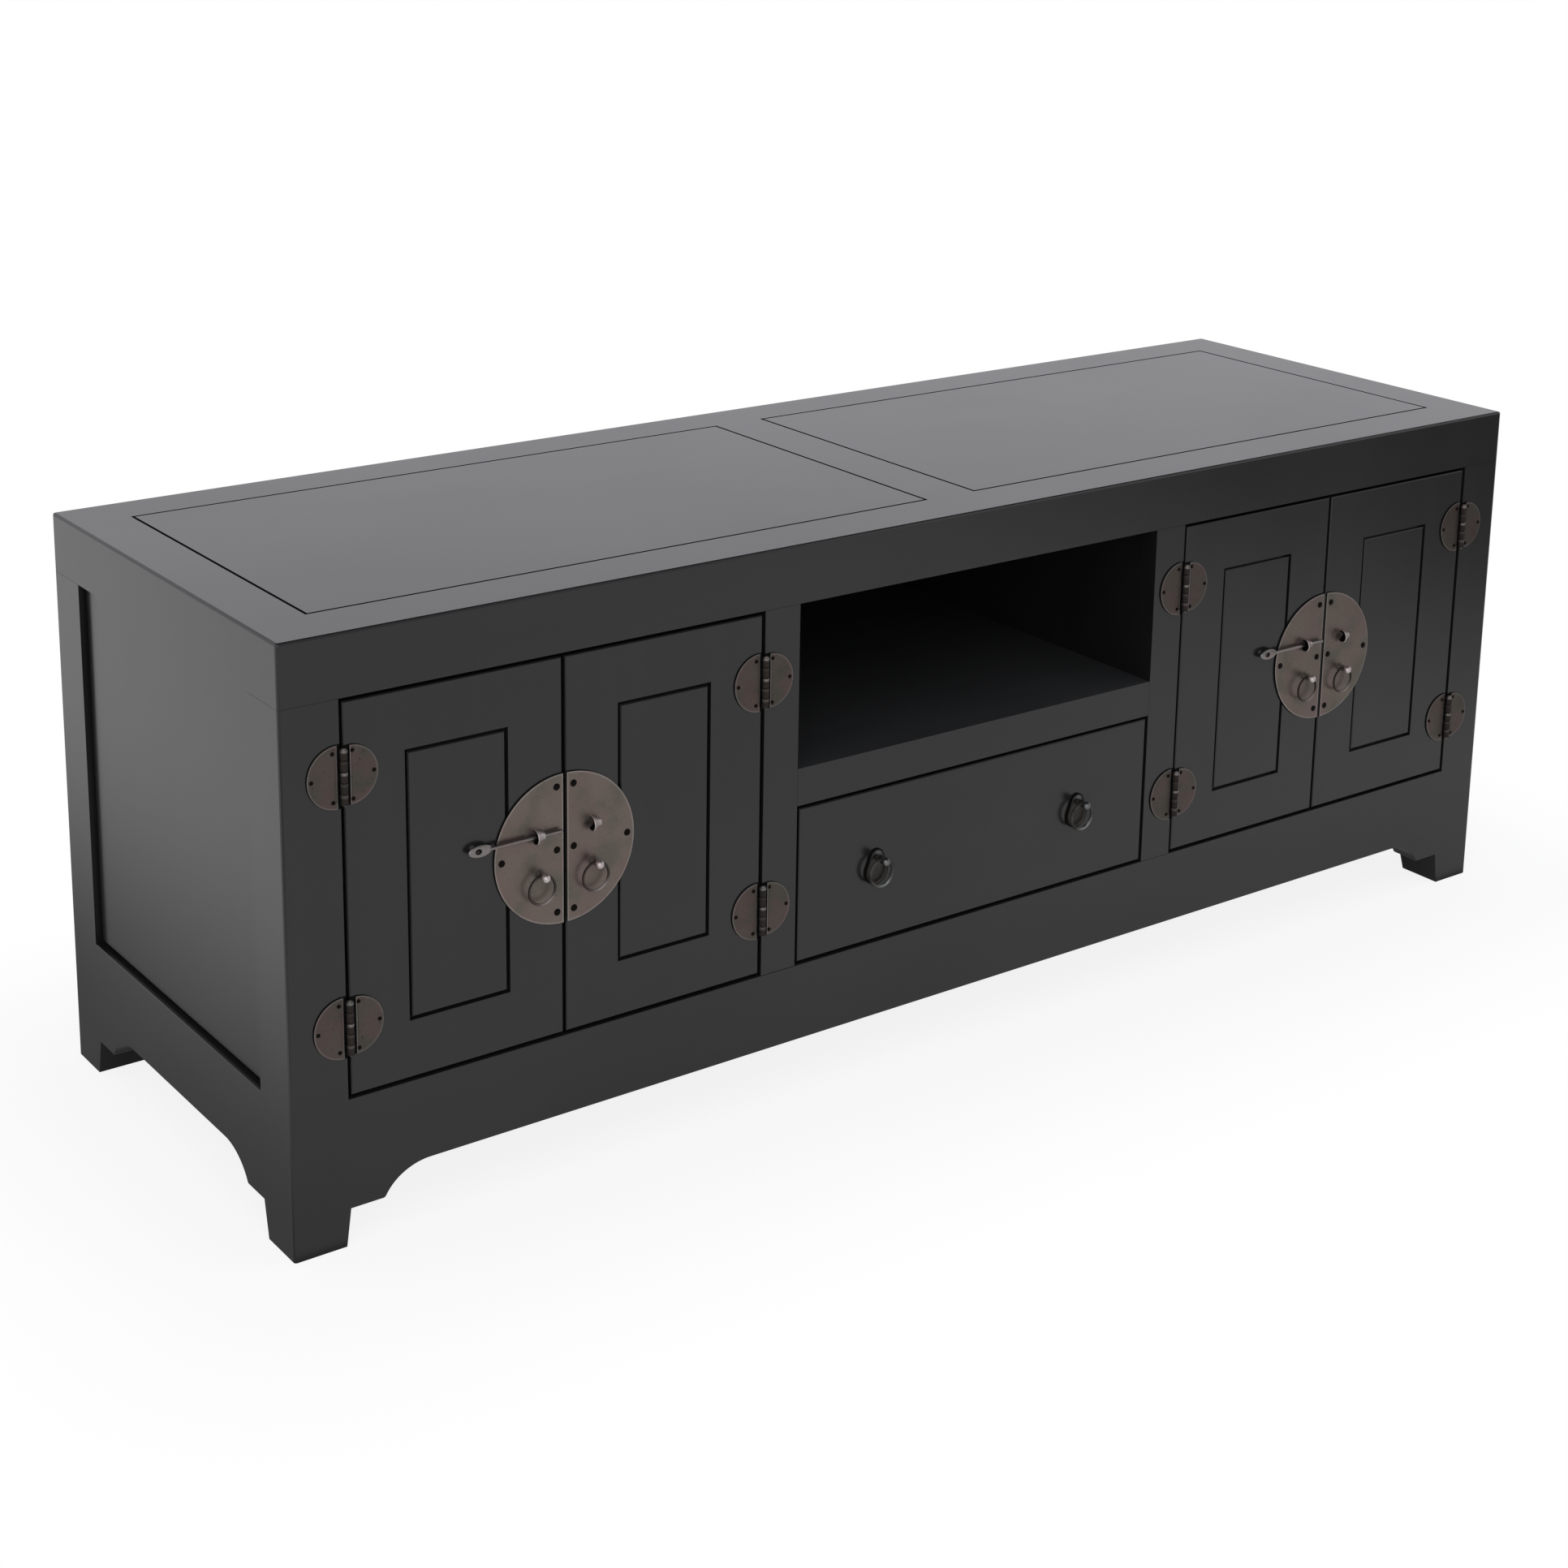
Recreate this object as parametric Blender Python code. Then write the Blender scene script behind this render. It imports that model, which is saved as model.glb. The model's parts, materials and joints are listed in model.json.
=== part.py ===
"""Low east-asian tv cabinet in black lacquer, with round split lock plates, modelled piece by piece.

Metres, +Z up, +X to the right, and the doors face -Y. The origin is on the floor, at the middle of the
overall footprint with the pulls counted in.
"""

import math

import bmesh
import bpy
from mathutils import Matrix, Vector

# Carcass
CABINET_WIDTH = 1.300
CABINET_DEPTH = 0.410
CABINET_HEIGHT = 0.480
POST_WIDTH = 0.047
POST_DEPTH = 0.049
FOOT_WIDTH = 0.043
EDGE_ROUNDING = 0.002
TENON_LENGTH = 0.012
TENON_THICKNESS = 0.008
TENON_SHOULDER = 0.008

# Top: a frame of one depth all round, with a thinner cross rail between two flush panels
TOP_FRAME_HEIGHT = 0.049
TOP_FRONT_RAIL = 0.0505
TOP_BACK_RAIL = 0.0465
TOP_END_RAIL = 0.048
TOP_CROSS_RAIL = 0.050
TOP_CROSS_RAIL_HEIGHT = 0.028
TOP_PANEL_THICKNESS = 0.016

# Aprons: a ledge beside each foot, then a cove up to the straight lower edge
APRON_HEIGHT = 0.0672
APRON_CLEARANCE = 0.0518
APRON_THICKNESS = 0.028
LEDGE_CLEARANCE = 0.030
LEDGE_LENGTH = 0.030
LEDGE_ROUNDING = 0.003
COVE_LENGTH = 0.038
COVE_START_DEGREES = 60

# Face of the cabinet
STILE_WIDTH = 0.034
FACE_THICKNESS = 0.020
CENTRE_BAY_WIDTH = 0.390
DRAWER_OPENING_HEIGHT = 0.140
MID_RAIL_HEIGHT = 0.032
REVEAL = 0.003

# Boards inside and behind
BOTTOM_BOARD_THICKNESS = 0.015
DOOR_STOP_HEIGHT = 0.006
PARTITION_THICKNESS = 0.018
SHELF_THICKNESS = 0.016
SHELF_TONGUE_THICKNESS = 0.008
SHELF_HOUSING = 0.005
SIDE_PANEL_RECESS = 0.012
SIDE_PANEL_THICKNESS = 0.010
BACK_PANEL_RECESS = 0.010
BACK_PANEL_THICKNESS = 0.009
PANEL_HOUSING = 0.007

# Framed panels of the doors and the top: flush fields with a narrow groove round them
HINGE_STILE_WIDTH = 0.049
MEETING_STILE_WIDTH = 0.047
DOOR_RAIL_WIDTH = 0.046
DOOR_PANEL_THICKNESS = 0.015
DOOR_EDGE_ROUNDING = 0.0008
GROOVE_WIDTH = 0.0026
GROOVE_DEPTH = 0.005
TONGUE_THICKNESS = 0.006

# Drawer
DRAWER_BACK_CLEARANCE = 0.0358
DRAWER_SIDE_HEIGHT = 0.112
DRAWER_SIDE_THICKNESS = 0.012
DRAWER_BOTTOM_THICKNESS = 0.006
DRAWER_BOTTOM_LIFT = 0.006
DRAWER_SIDE_CLEARANCE = 0.0015

# Half-moon hinges
HINGE_FROM_DOOR_END = 0.0555
HINGE_LEAF_RADIUS = 0.0255
HINGE_LEAF_THICKNESS = 0.0012
KNUCKLE_DIAMETER = 0.0056
KNUCKLE_LENGTH = 0.043
KNUCKLE_COUNT = 5
HINGE_PIN_DIAMETER = 0.0022

# Round lock plates, one half on each door of a pair
PLATE_DIAMETER = 0.122
PLATE_THICKNESS = 0.0015
EAR_FROM_MEETING_LINE = 0.025
EAR_ABOVE_CENTRE = 0.016
EAR_LENGTH = 0.008
EAR_MOUTH_DIAMETER = 0.013
EAR_TAIL_DIAMETER = 0.0064
EAR_WALL = 0.0011
LOCK_PIN_LENGTH = 0.082
LOCK_PIN_DIAMETER = 0.0032
LOCK_PIN_PROUD = 0.0030
LOCK_PIN_SETBACK = 0.0025
PADDLE_LENGTH = 0.020
PADDLE_HEIGHT = 0.0095
PADDLE_THICKNESS = 0.0018
PADDLE_EYE_DIAMETER = 0.0040
PADDLE_EYE_FROM_END = 0.0080
PADDLE_LAP = 0.0040

# Ring pulls of the doors, hung in ball-ended posts
DOOR_POST_FROM_MEETING_LINE = 0.024
DOOR_POST_BELOW_CENTRE = 0.0155
DOOR_POST_NECK_DIAMETER = 0.0052
DOOR_POST_BALL_DIAMETER = 0.0064
DOOR_POST_EYE_REACH = 0.0055
DOOR_RING_DIAMETER = 0.025
DOOR_RING_WIRE = 0.0020

# Ring pulls of the drawer, hung in posts on gourd-shaped bases
PULL_SPACING = 0.224
PULL_BASE_THICKNESS = 0.0022
PULL_BASE_LOWER_DIAMETER = 0.021
PULL_BASE_UPPER_DIAMETER = 0.015
PULL_BASE_LOBE_SPACING = 0.014
PULL_POST_NECK_DIAMETER = 0.0060
PULL_POST_BALL_DIAMETER = 0.0064
PULL_POST_EYE_REACH = 0.0055
PULL_RING_DIAMETER = 0.0265
PULL_RING_WIRE = 0.0030

# Clearances
JOINT_GAP = 0.0002
SEAT_GAP = 0.0003
RUNNING_GAP = 0.0005
EYE_GAP = 0.0006
CUT_OVERSHOOT = 0.010

# Facets of round forms
TURN_STEPS = 12
EAR_STEPS = 16
RING_STEPS = 24
WIRE_STEPS = 8
ARC_STEPS = 8
HALF_DISC_STEPS = 20

# Heights, counted from the floor
TOP_FRAME_UNDERSIDE = CABINET_HEIGHT - TOP_FRAME_HEIGHT
OPENING_BOTTOM = APRON_CLEARANCE + APRON_HEIGHT
DRAWER_OPENING_TOP = OPENING_BOTTOM + DRAWER_OPENING_HEIGHT
NICHE_FLOOR = DRAWER_OPENING_TOP + MID_RAIL_HEIGHT
BOARD_TOP = OPENING_BOTTOM + DOOR_STOP_HEIGHT
DOOR_BOTTOM = OPENING_BOTTOM + REVEAL
DOOR_TOP = TOP_FRAME_UNDERSIDE - REVEAL
DOOR_MIDDLE = (DOOR_BOTTOM + DOOR_TOP) / 2
DRAWER_MIDDLE = (OPENING_BOTTOM + DRAWER_OPENING_TOP) / 2

# Reach of the pulls in front of the face, and the two faces that follow from it
PULL_POST_REACH = PULL_POST_EYE_REACH + PULL_POST_NECK_DIAMETER / 2 + PULL_POST_BALL_DIAMETER
DOOR_POST_REACH = DOOR_POST_EYE_REACH + DOOR_POST_NECK_DIAMETER / 2 + DOOR_POST_BALL_DIAMETER
HARDWARE_REACH = JOINT_GAP + max(PULL_BASE_THICKNESS + PULL_POST_REACH, PLATE_THICKNESS + DOOR_POST_REACH)
FRONT_Y = (HARDWARE_REACH - CABINET_DEPTH) / 2
BACK_Y = FRONT_Y + CABINET_DEPTH
FACE_BACK_Y = FRONT_Y + FACE_THICKNESS
BACK_PANEL_FRONT_Y = BACK_Y - BACK_PANEL_RECESS - BACK_PANEL_THICKNESS
DRAWER_DEPTH = BACK_PANEL_FRONT_Y - DRAWER_BACK_CLEARANCE - FACE_BACK_Y - JOINT_GAP

# Widths along the face, counted from the middle
HALF_WIDTH = CABINET_WIDTH / 2
POST_INNER_X = HALF_WIDTH - POST_WIDTH
BAY_EDGE_X = CENTRE_BAY_WIDTH / 2
STILE_OUTER_X = BAY_EDGE_X + STILE_WIDTH
MEETING_X = (POST_INNER_X + STILE_OUTER_X) / 2
DOOR_WIDTH = (POST_INNER_X - STILE_OUTER_X - 3 * REVEAL) / 2

# Hinges: the axis stands just clear of the face, in the middle of the reveal
HINGE_AXIS_Y = FRONT_Y - KNUCKLE_DIAMETER / 2 - RUNNING_GAP
HINGE_LEAF_START = KNUCKLE_DIAMETER / 2 + RUNNING_GAP
HINGE_HEIGHTS = {"upper": DOOR_TOP - HINGE_FROM_DOOR_END, "lower": DOOR_BOTTOM + HINGE_FROM_DOOR_END}

# Lock: the pin waits in the left ear, with its tip just short of the meeting line
PLATE_FRONT_Y = FRONT_Y - JOINT_GAP - PLATE_THICKNESS
LOCK_PIN_Y = PLATE_FRONT_Y - LOCK_PIN_PROUD
LOCK_PIN_Z = DOOR_MIDDLE + EAR_ABOVE_CENTRE

# Each door: the sign of its half, the sign of the side its hinges are on, and that hinge line
DOORS = {
    "left_outer": (-1, -1, -POST_INNER_X + REVEAL / 2),
    "left_inner": (-1, 1, -STILE_OUTER_X - REVEAL / 2),
    "right_inner": (1, -1, STILE_OUTER_X + REVEAL / 2),
    "right_outer": (1, 1, POST_INNER_X - REVEAL / 2),
}


# Modelling helpers

def clear_scene():
    """Take every object out of the scene."""
    for item in list(bpy.data.objects):
        bpy.data.objects.remove(item, do_unlink=True)


def finish(name, colour, roughness, metallic):
    """A plain Principled material."""
    coat = bpy.data.materials.new(name)
    coat.use_nodes = True
    shader = coat.node_tree.nodes["Principled BSDF"]
    shader.inputs["Base Color"].default_value = (*colour, 1.0)
    shader.inputs["Roughness"].default_value = roughness
    shader.inputs["Metallic"].default_value = metallic
    coat.diffuse_color = (*colour, 1.0)
    return coat


def make(name, build, location=(0.0, 0.0, 0.0)):
    """One object whose mesh the given function fills, with its origin at the location."""
    shape = bmesh.new()
    build(shape)
    bmesh.ops.remove_doubles(shape, verts=shape.verts, dist=1e-7)
    bmesh.ops.recalc_face_normals(shape, faces=shape.faces)
    mesh = bpy.data.meshes.new(name)
    shape.to_mesh(mesh)
    shape.free()
    piece = bpy.data.objects.new(name, mesh)
    piece.location = location
    bpy.context.collection.objects.link(piece)
    return piece


def block(name, low, high):
    """A board between two corners, with its origin at its middle."""
    low = Vector(low)
    high = Vector(high)

    def build(shape):
        bmesh.ops.create_cube(shape, size=1.0, matrix=Matrix.Diagonal((*(high - low), 1.0)))

    return make(name, build, (low + high) / 2)


def extruded(name, outline, axis, near, far, location=(0.0, 0.0, 0.0)):
    """A closed upright outline of (across, up) points carried along Y or X from near to far."""

    def build(shape):
        if axis == "Y":
            corners = [shape.verts.new((across, near, up)) for across, up in outline]
            travel = (0.0, far - near, 0.0)
        else:
            corners = [shape.verts.new((near, across, up)) for across, up in outline]
            travel = (far - near, 0.0, 0.0)
        face = shape.faces.new(corners)
        grown = bmesh.ops.extrude_face_region(shape, geom=[face], use_keep_orig=True)
        moved = [item for item in grown["geom"] if isinstance(item, bmesh.types.BMVert)]
        bmesh.ops.translate(shape, verts=moved, vec=travel)

    return make(name, build, location)


def turned(name, profile, axis, location=(0.0, 0.0, 0.0), steps=TURN_STEPS):
    """A profile of (along, radius) points turned once round the X, Y or Z axis."""
    directions = {
        "X": (Vector((1, 0, 0)), Vector((0, 0, 1))),
        "Y": (Vector((0, 1, 0)), Vector((0, 0, 1))),
        "Z": (Vector((0, 0, 1)), Vector((1, 0, 0))),
    }
    along_axis, outwards = directions[axis]

    def build(shape):
        points = [shape.verts.new(along_axis * along + outwards * radius) for along, radius in profile]
        edges = [shape.edges.new(pair) for pair in zip(points, points[1:])]
        if profile[0][1] > 0:
            edges.append(shape.edges.new((points[-1], points[0])))
        bmesh.ops.spin(
            shape, geom=points + edges, cent=(0, 0, 0), axis=along_axis,
            angle=2 * math.pi, steps=steps, use_merge=True,
        )

    return make(name, build, location)


def combine(target, tool, operation):
    """Apply one exact Boolean to the target's mesh and take the tool away."""
    bpy.context.view_layer.update()
    step = target.modifiers.new("Combine", "BOOLEAN")
    step.operation = operation
    step.solver = "EXACT"
    step.object = tool
    depsgraph = bpy.context.evaluated_depsgraph_get()
    result = bpy.data.meshes.new_from_object(target.evaluated_get(depsgraph))
    target.modifiers.remove(step)
    target.data = result
    bpy.data.objects.remove(tool, do_unlink=True)
    return target


def join(target, tool):
    """Fuse the tool to the target."""
    return combine(target, tool, "UNION")


def cut(target, tool):
    """Take the tool's space out of the target."""
    return combine(target, tool, "DIFFERENCE")


def pocket(target, low, high, clearance=JOINT_GAP):
    """Cut room for a neighbour that fills the space between two corners."""
    margin = Vector((clearance, clearance, clearance))
    return cut(target, block("pocket", Vector(low) - margin, Vector(high) + margin))


def soften(piece, width, picks, segments=2):
    """Round the edges of a piece that the test picks by their middle and direction."""
    shape = bmesh.new()
    shape.from_mesh(piece.data)
    chosen = []
    for edge in shape.edges:
        ends = [corner.co + piece.location for corner in edge.verts]
        if picks((ends[0] + ends[1]) / 2, (ends[1] - ends[0]).normalized()):
            chosen.append(edge)
    bmesh.ops.bevel(shape, geom=chosen, offset=width, segments=segments, profile=0.5, affect="EDGES")
    bmesh.ops.recalc_face_normals(shape, faces=shape.faces)
    shape.to_mesh(piece.data)
    shape.free()
    return piece


def dress(piece, coat, smooth=False):
    """Give a piece its material, and smooth shading on its round faces."""
    piece.data.materials.clear()
    piece.data.materials.append(coat)
    if smooth:
        piece.data.shade_smooth()
        piece.data.set_sharp_from_angle(angle=math.radians(35))
    return piece


def axis_empty(name, location, carrier=None):
    """An empty on a joint's axis, which carries the pieces that move together."""
    empty = bpy.data.objects.new(name, None)
    bpy.context.collection.objects.link(empty)
    empty.location = location
    if carrier:
        carry(empty, carrier)
    return empty


def carry(piece, carrier):
    """Parent a piece to an unturned carrier without moving it."""
    bpy.context.view_layer.update()
    piece.parent = carrier
    piece.location = piece.location - carrier.matrix_world.translation


def arc(centre, radius, start, end, steps=ARC_STEPS, height_radius=None):
    """Points of an arc, or of an ellipse's arc, between two angles in degrees."""
    upright = height_radius or radius
    points = []
    for step in range(steps + 1):
        angle = math.radians(start + (end - start) * step / steps)
        points.append((centre[0] + radius * math.cos(angle), centre[1] + upright * math.sin(angle)))
    return points


# Carcass

def top_tenon(side, end):
    """The corners of the stub on a post's top, set back from all four of its faces."""
    outer_x = side * HALF_WIDTH
    outer_y = FRONT_Y if end < 0 else BACK_Y
    xs = sorted((outer_x - side * TENON_SHOULDER, outer_x - side * (POST_WIDTH - TENON_SHOULDER)))
    ys = sorted((outer_y - end * TENON_SHOULDER, outer_y - end * (POST_DEPTH - TENON_SHOULDER)))
    low = (xs[0], ys[0], TOP_FRAME_UNDERSIDE - TENON_SHOULDER)
    high = (xs[1], ys[1], TOP_FRAME_UNDERSIDE + TENON_LENGTH)
    return low, high


def corner_post(name, side, end):
    """A square post whose foot narrows on its two inner faces, with a stub tenon on top."""
    outer_x = side * HALF_WIDTH
    outer_y = FRONT_Y if end < 0 else BACK_Y
    sections = (
        (0.0, FOOT_WIDTH, FOOT_WIDTH),
        (LEDGE_CLEARANCE, POST_WIDTH, POST_DEPTH),
        (TOP_FRAME_UNDERSIDE - JOINT_GAP, POST_WIDTH, POST_DEPTH),
    )

    def build(shape):
        rings = []
        for height, width, depth in sections:
            inner_x = outer_x - side * width
            inner_y = outer_y - end * depth
            corners = ((outer_x, outer_y), (inner_x, outer_y), (inner_x, inner_y), (outer_x, inner_y))
            rings.append([shape.verts.new((x, y, height)) for x, y in corners])
        shape.faces.new(rings[0])
        shape.faces.new(rings[-1])
        for lower, upper in zip(rings, rings[1:]):
            for here in range(4):
                there = (here + 1) % 4
                shape.faces.new((lower[here], lower[there], upper[there], upper[here]))

    post = make(name, build)

    def on_outer_corner(middle, direction):
        near_x = abs(middle.x - outer_x) < EDGE_ROUNDING
        near_y = abs(middle.y - outer_y) < EDGE_ROUNDING
        return near_x and near_y and abs(direction.z) > 0.9

    soften(post, EDGE_ROUNDING, on_outer_corner)
    return join(post, block("tenon", *top_tenon(side, end)))


def top_frame():
    """A mitred frame with a cross rail, grooved for two flush panels and mortised for four posts."""
    frame = block(
        "top_frame", (-HALF_WIDTH, FRONT_Y, TOP_FRAME_UNDERSIDE),
        (HALF_WIDTH, BACK_Y, CABINET_HEIGHT),
    )

    def on_outer_edge(middle, direction):
        upright = abs(direction.z) > 0.9
        return upright or middle.z > CABINET_HEIGHT - EDGE_ROUNDING

    soften(frame, EDGE_ROUNDING, on_outer_edge)
    for side in (-1, 1):
        low, high = top_window(side)
        pocket(
            frame, (low.x, low.y, TOP_FRAME_UNDERSIDE - CUT_OVERSHOOT),
            (high.x, high.y, CABINET_HEIGHT + CUT_OVERSHOOT), 0.0,
        )
        pocket(frame, *tongue_box(low, high, "Z", CABINET_HEIGHT - GROOVE_DEPTH))
        for end in (-1, 1):
            pocket(frame, *top_tenon(side, end))
    pocket(
        frame, (-TOP_CROSS_RAIL, FRONT_Y + TOP_FRONT_RAIL, TOP_FRAME_UNDERSIDE - CUT_OVERSHOOT),
        (TOP_CROSS_RAIL, BACK_Y - TOP_BACK_RAIL, CABINET_HEIGHT - TOP_CROSS_RAIL_HEIGHT), 0.0,
    )
    return frame


def top_window(side):
    """The corners of one of the two openings of the top frame, seen from above."""
    xs = sorted((side * TOP_CROSS_RAIL / 2, side * (HALF_WIDTH - TOP_END_RAIL)))
    low = Vector((xs[0], FRONT_Y + TOP_FRONT_RAIL, CABINET_HEIGHT))
    high = Vector((xs[1], BACK_Y - TOP_BACK_RAIL, CABINET_HEIGHT))
    return low, high


def tongue_box(low, high, axis, face):
    """The corners of the tongue round a framed panel, one tongue thickness behind its groove."""
    reach = PANEL_HOUSING
    if axis == "Z":
        return (
            (low.x - reach, low.y - reach, face - TONGUE_THICKNESS),
            (high.x + reach, high.y + reach, face),
        )
    return (
        (low.x - reach, face, low.z - reach),
        (high.x + reach, face + TONGUE_THICKNESS, high.z + reach),
    )


def top_panel(name, side):
    """A flush panel of the top, with a narrow groove round its field and a tongue in the frame."""
    low, high = top_window(side)
    field = block(
        name, (low.x + GROOVE_WIDTH, low.y + GROOVE_WIDTH, CABINET_HEIGHT - TOP_PANEL_THICKNESS),
        (high.x - GROOVE_WIDTH, high.y - GROOVE_WIDTH, CABINET_HEIGHT),
    )
    return join(field, block("tongue", *tongue_box(low, high, "Z", CABINET_HEIGHT - GROOVE_DEPTH)))


def apron_outline(start, end):
    """A straight rail that steps down to a ledge beside each foot, through a rounded nose and a cove.

    The cove is part of an ellipse that leaves the nose at a slope and ends level at the straight edge.
    """
    nose = start + LEDGE_LENGTH
    nose_centre = (nose - LEDGE_ROUNDING, LEDGE_CLEARANCE + LEDGE_ROUNDING)
    left = [(start, OPENING_BOTTOM), (start, LEDGE_CLEARANCE)]
    left += arc(nose_centre, LEDGE_ROUNDING, -90, COVE_START_DEGREES - 90, 3)
    cove_start = left[-1]
    run = nose + COVE_LENGTH - cove_start[0]
    rise = APRON_CLEARANCE - cove_start[1]
    lean = math.asin(1 / (math.tan(math.radians(COVE_START_DEGREES)) * run / rise - 1))
    upright = rise / (1 - math.sin(lean))
    cove_centre = (nose + COVE_LENGTH, APRON_CLEARANCE - upright)
    left += arc(cove_centre, run / math.cos(lean), 180 - math.degrees(lean), 90, ARC_STEPS, upright)[1:]
    right = [(start + end - across, up) for across, up in reversed(left)]
    return left + right


def apron_tenons(axis, start, end, near, far):
    """The corners of the two stub tenons of an apron, along its length from start to end."""
    middle = (near + far) / 2
    sides = (middle - TENON_THICKNESS / 2, middle + TENON_THICKNESS / 2)
    board_underside = BOARD_TOP - BOTTOM_BOARD_THICKNESS
    heights = (APRON_CLEARANCE + TENON_SHOULDER, board_underside - 2 * TENON_SHOULDER)
    boxes = []
    for shoulder in (start, end):
        low = shoulder - TENON_LENGTH
        high = shoulder + TENON_LENGTH
        if axis == "Y":
            boxes.append(((low, sides[0], heights[0]), (high, sides[1], heights[1])))
        else:
            boxes.append(((sides[0], low, heights[0]), (sides[1], high, heights[1])))
    return boxes


def apron(name, axis, start, end, near, far, shaped=True):
    """One rail under the openings, tenoned into the posts at its two ends."""
    if shaped:
        outline = apron_outline(start, end)
    else:
        outline = [
            (start, OPENING_BOTTOM), (start, APRON_CLEARANCE),
            (end, APRON_CLEARANCE), (end, OPENING_BOTTOM),
        ]
    rail = extruded(name, outline, axis, near, far)
    for low, high in apron_tenons(axis, start, end, near, far):
        join(rail, block("tenon", low, high))
    return rail


def side_panel_box(side):
    """The corners of a recessed side panel, with the edges that sit in the grooves round it."""
    outer = side * (HALF_WIDTH - SIDE_PANEL_RECESS)
    xs = sorted((outer, outer - side * SIDE_PANEL_THICKNESS))
    low = (xs[0], FRONT_Y + POST_DEPTH - PANEL_HOUSING, OPENING_BOTTOM - PANEL_HOUSING)
    high = (xs[1], BACK_Y - POST_DEPTH + PANEL_HOUSING, TOP_FRAME_UNDERSIDE + PANEL_HOUSING)
    return low, high


def back_panel_box():
    """The corners of the back panel, with the edges that sit in the grooves round it."""
    reach = POST_INNER_X + PANEL_HOUSING
    low = (-reach, BACK_PANEL_FRONT_Y, OPENING_BOTTOM - PANEL_HOUSING)
    high = (reach, BACK_PANEL_FRONT_Y + BACK_PANEL_THICKNESS, TOP_FRAME_UNDERSIDE + PANEL_HOUSING)
    return low, high


def bottom_board_box():
    """The corners of the bottom board, which lies in rebates of the aprons and stops the doors."""
    reach = HALF_WIDTH - SIDE_PANEL_RECESS - SIDE_PANEL_THICKNESS - JOINT_GAP
    low = (-reach, FACE_BACK_Y + RUNNING_GAP, BOARD_TOP - BOTTOM_BOARD_THICKNESS)
    high = (reach, BACK_PANEL_FRONT_Y - JOINT_GAP, BOARD_TOP)
    return low, high


def shelf_tongue_box():
    """The corners of the tongue under the niche's floor, with the ends that sit in the partitions."""
    reach = BAY_EDGE_X + SHELF_HOUSING
    underside = NICHE_FLOOR - SHELF_THICKNESS
    low = (-reach, FACE_BACK_Y + JOINT_GAP, underside)
    high = (reach, BACK_PANEL_FRONT_Y - JOINT_GAP, underside + SHELF_TONGUE_THICKNESS)
    return low, high


def stile_tenons(side):
    """The corners of the stubs at the top and bottom of a front stile."""
    xs = sorted((side * (BAY_EDGE_X + TENON_SHOULDER), side * (STILE_OUTER_X - TENON_SHOULDER)))
    middle = FRONT_Y + FACE_THICKNESS / 2
    boxes = []
    for height in (OPENING_BOTTOM, TOP_FRAME_UNDERSIDE):
        low = (xs[0], middle - TENON_THICKNESS / 2, height - TENON_LENGTH)
        high = (xs[1], middle + TENON_THICKNESS / 2, height + TENON_LENGTH)
        boxes.append((low, high))
    return boxes


def front_stile(name, side):
    """An upright between a pair of doors and the middle bay."""
    xs = sorted((side * BAY_EDGE_X, side * STILE_OUTER_X))
    stile = block(
        name, (xs[0], FRONT_Y, OPENING_BOTTOM + JOINT_GAP),
        (xs[1], FACE_BACK_Y, TOP_FRAME_UNDERSIDE - JOINT_GAP),
    )
    for low, high in stile_tenons(side):
        join(stile, block("tenon", low, high))
    return stile


def niche_shelf():
    """The niche's floor on its tongue, with the rail over the drawer along its front edge."""
    low, high = shelf_tongue_box()
    shelf = block("niche_shelf", low, high)
    reach = BAY_EDGE_X - JOINT_GAP
    join(shelf, block("floor", (-reach, low[1], low[2]), (reach, high[1], NICHE_FLOOR)))
    rail = block(
        "rail", (-reach, FRONT_Y, DRAWER_OPENING_TOP),
        (reach, FACE_BACK_Y + SHELF_THICKNESS, NICHE_FLOOR),
    )
    return join(shelf, rail)


def partition(name, side):
    """A board between the niche and a cupboard, notched round the front and back rails of the top."""
    xs = sorted((side * BAY_EDGE_X, side * (BAY_EDGE_X + PARTITION_THICKNESS)))
    top = CABINET_HEIGHT - TOP_PANEL_THICKNESS - JOINT_GAP
    board = block(
        name, (xs[0], FACE_BACK_Y + JOINT_GAP, BOARD_TOP + JOINT_GAP),
        (xs[1], BACK_PANEL_FRONT_Y - JOINT_GAP, top),
    )
    for near, far in ((FRONT_Y, FRONT_Y + TOP_FRONT_RAIL), (BACK_Y - TOP_BACK_RAIL, BACK_Y)):
        pocket(
            board, (xs[0] - CUT_OVERSHOOT, near, TOP_FRAME_UNDERSIDE),
            (xs[1] + CUT_OVERSHOOT, far, CABINET_HEIGHT),
        )
    return pocket(board, *shelf_tongue_box())


def bottom_board():
    """The bottom board, notched at its corners round the four posts."""
    low, high = bottom_board_box()
    board = block("bottom_board", low, high)
    for side in (-1, 1):
        for outer_y, inner_y in ((FRONT_Y, FRONT_Y + POST_DEPTH), (BACK_Y, BACK_Y - POST_DEPTH)):
            xs = sorted((side * HALF_WIDTH, side * POST_INNER_X))
            ys = sorted((outer_y, inner_y))
            pocket(board, (xs[0], ys[0], 0.0), (xs[1], ys[1], CABINET_HEIGHT))
    return board


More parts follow.
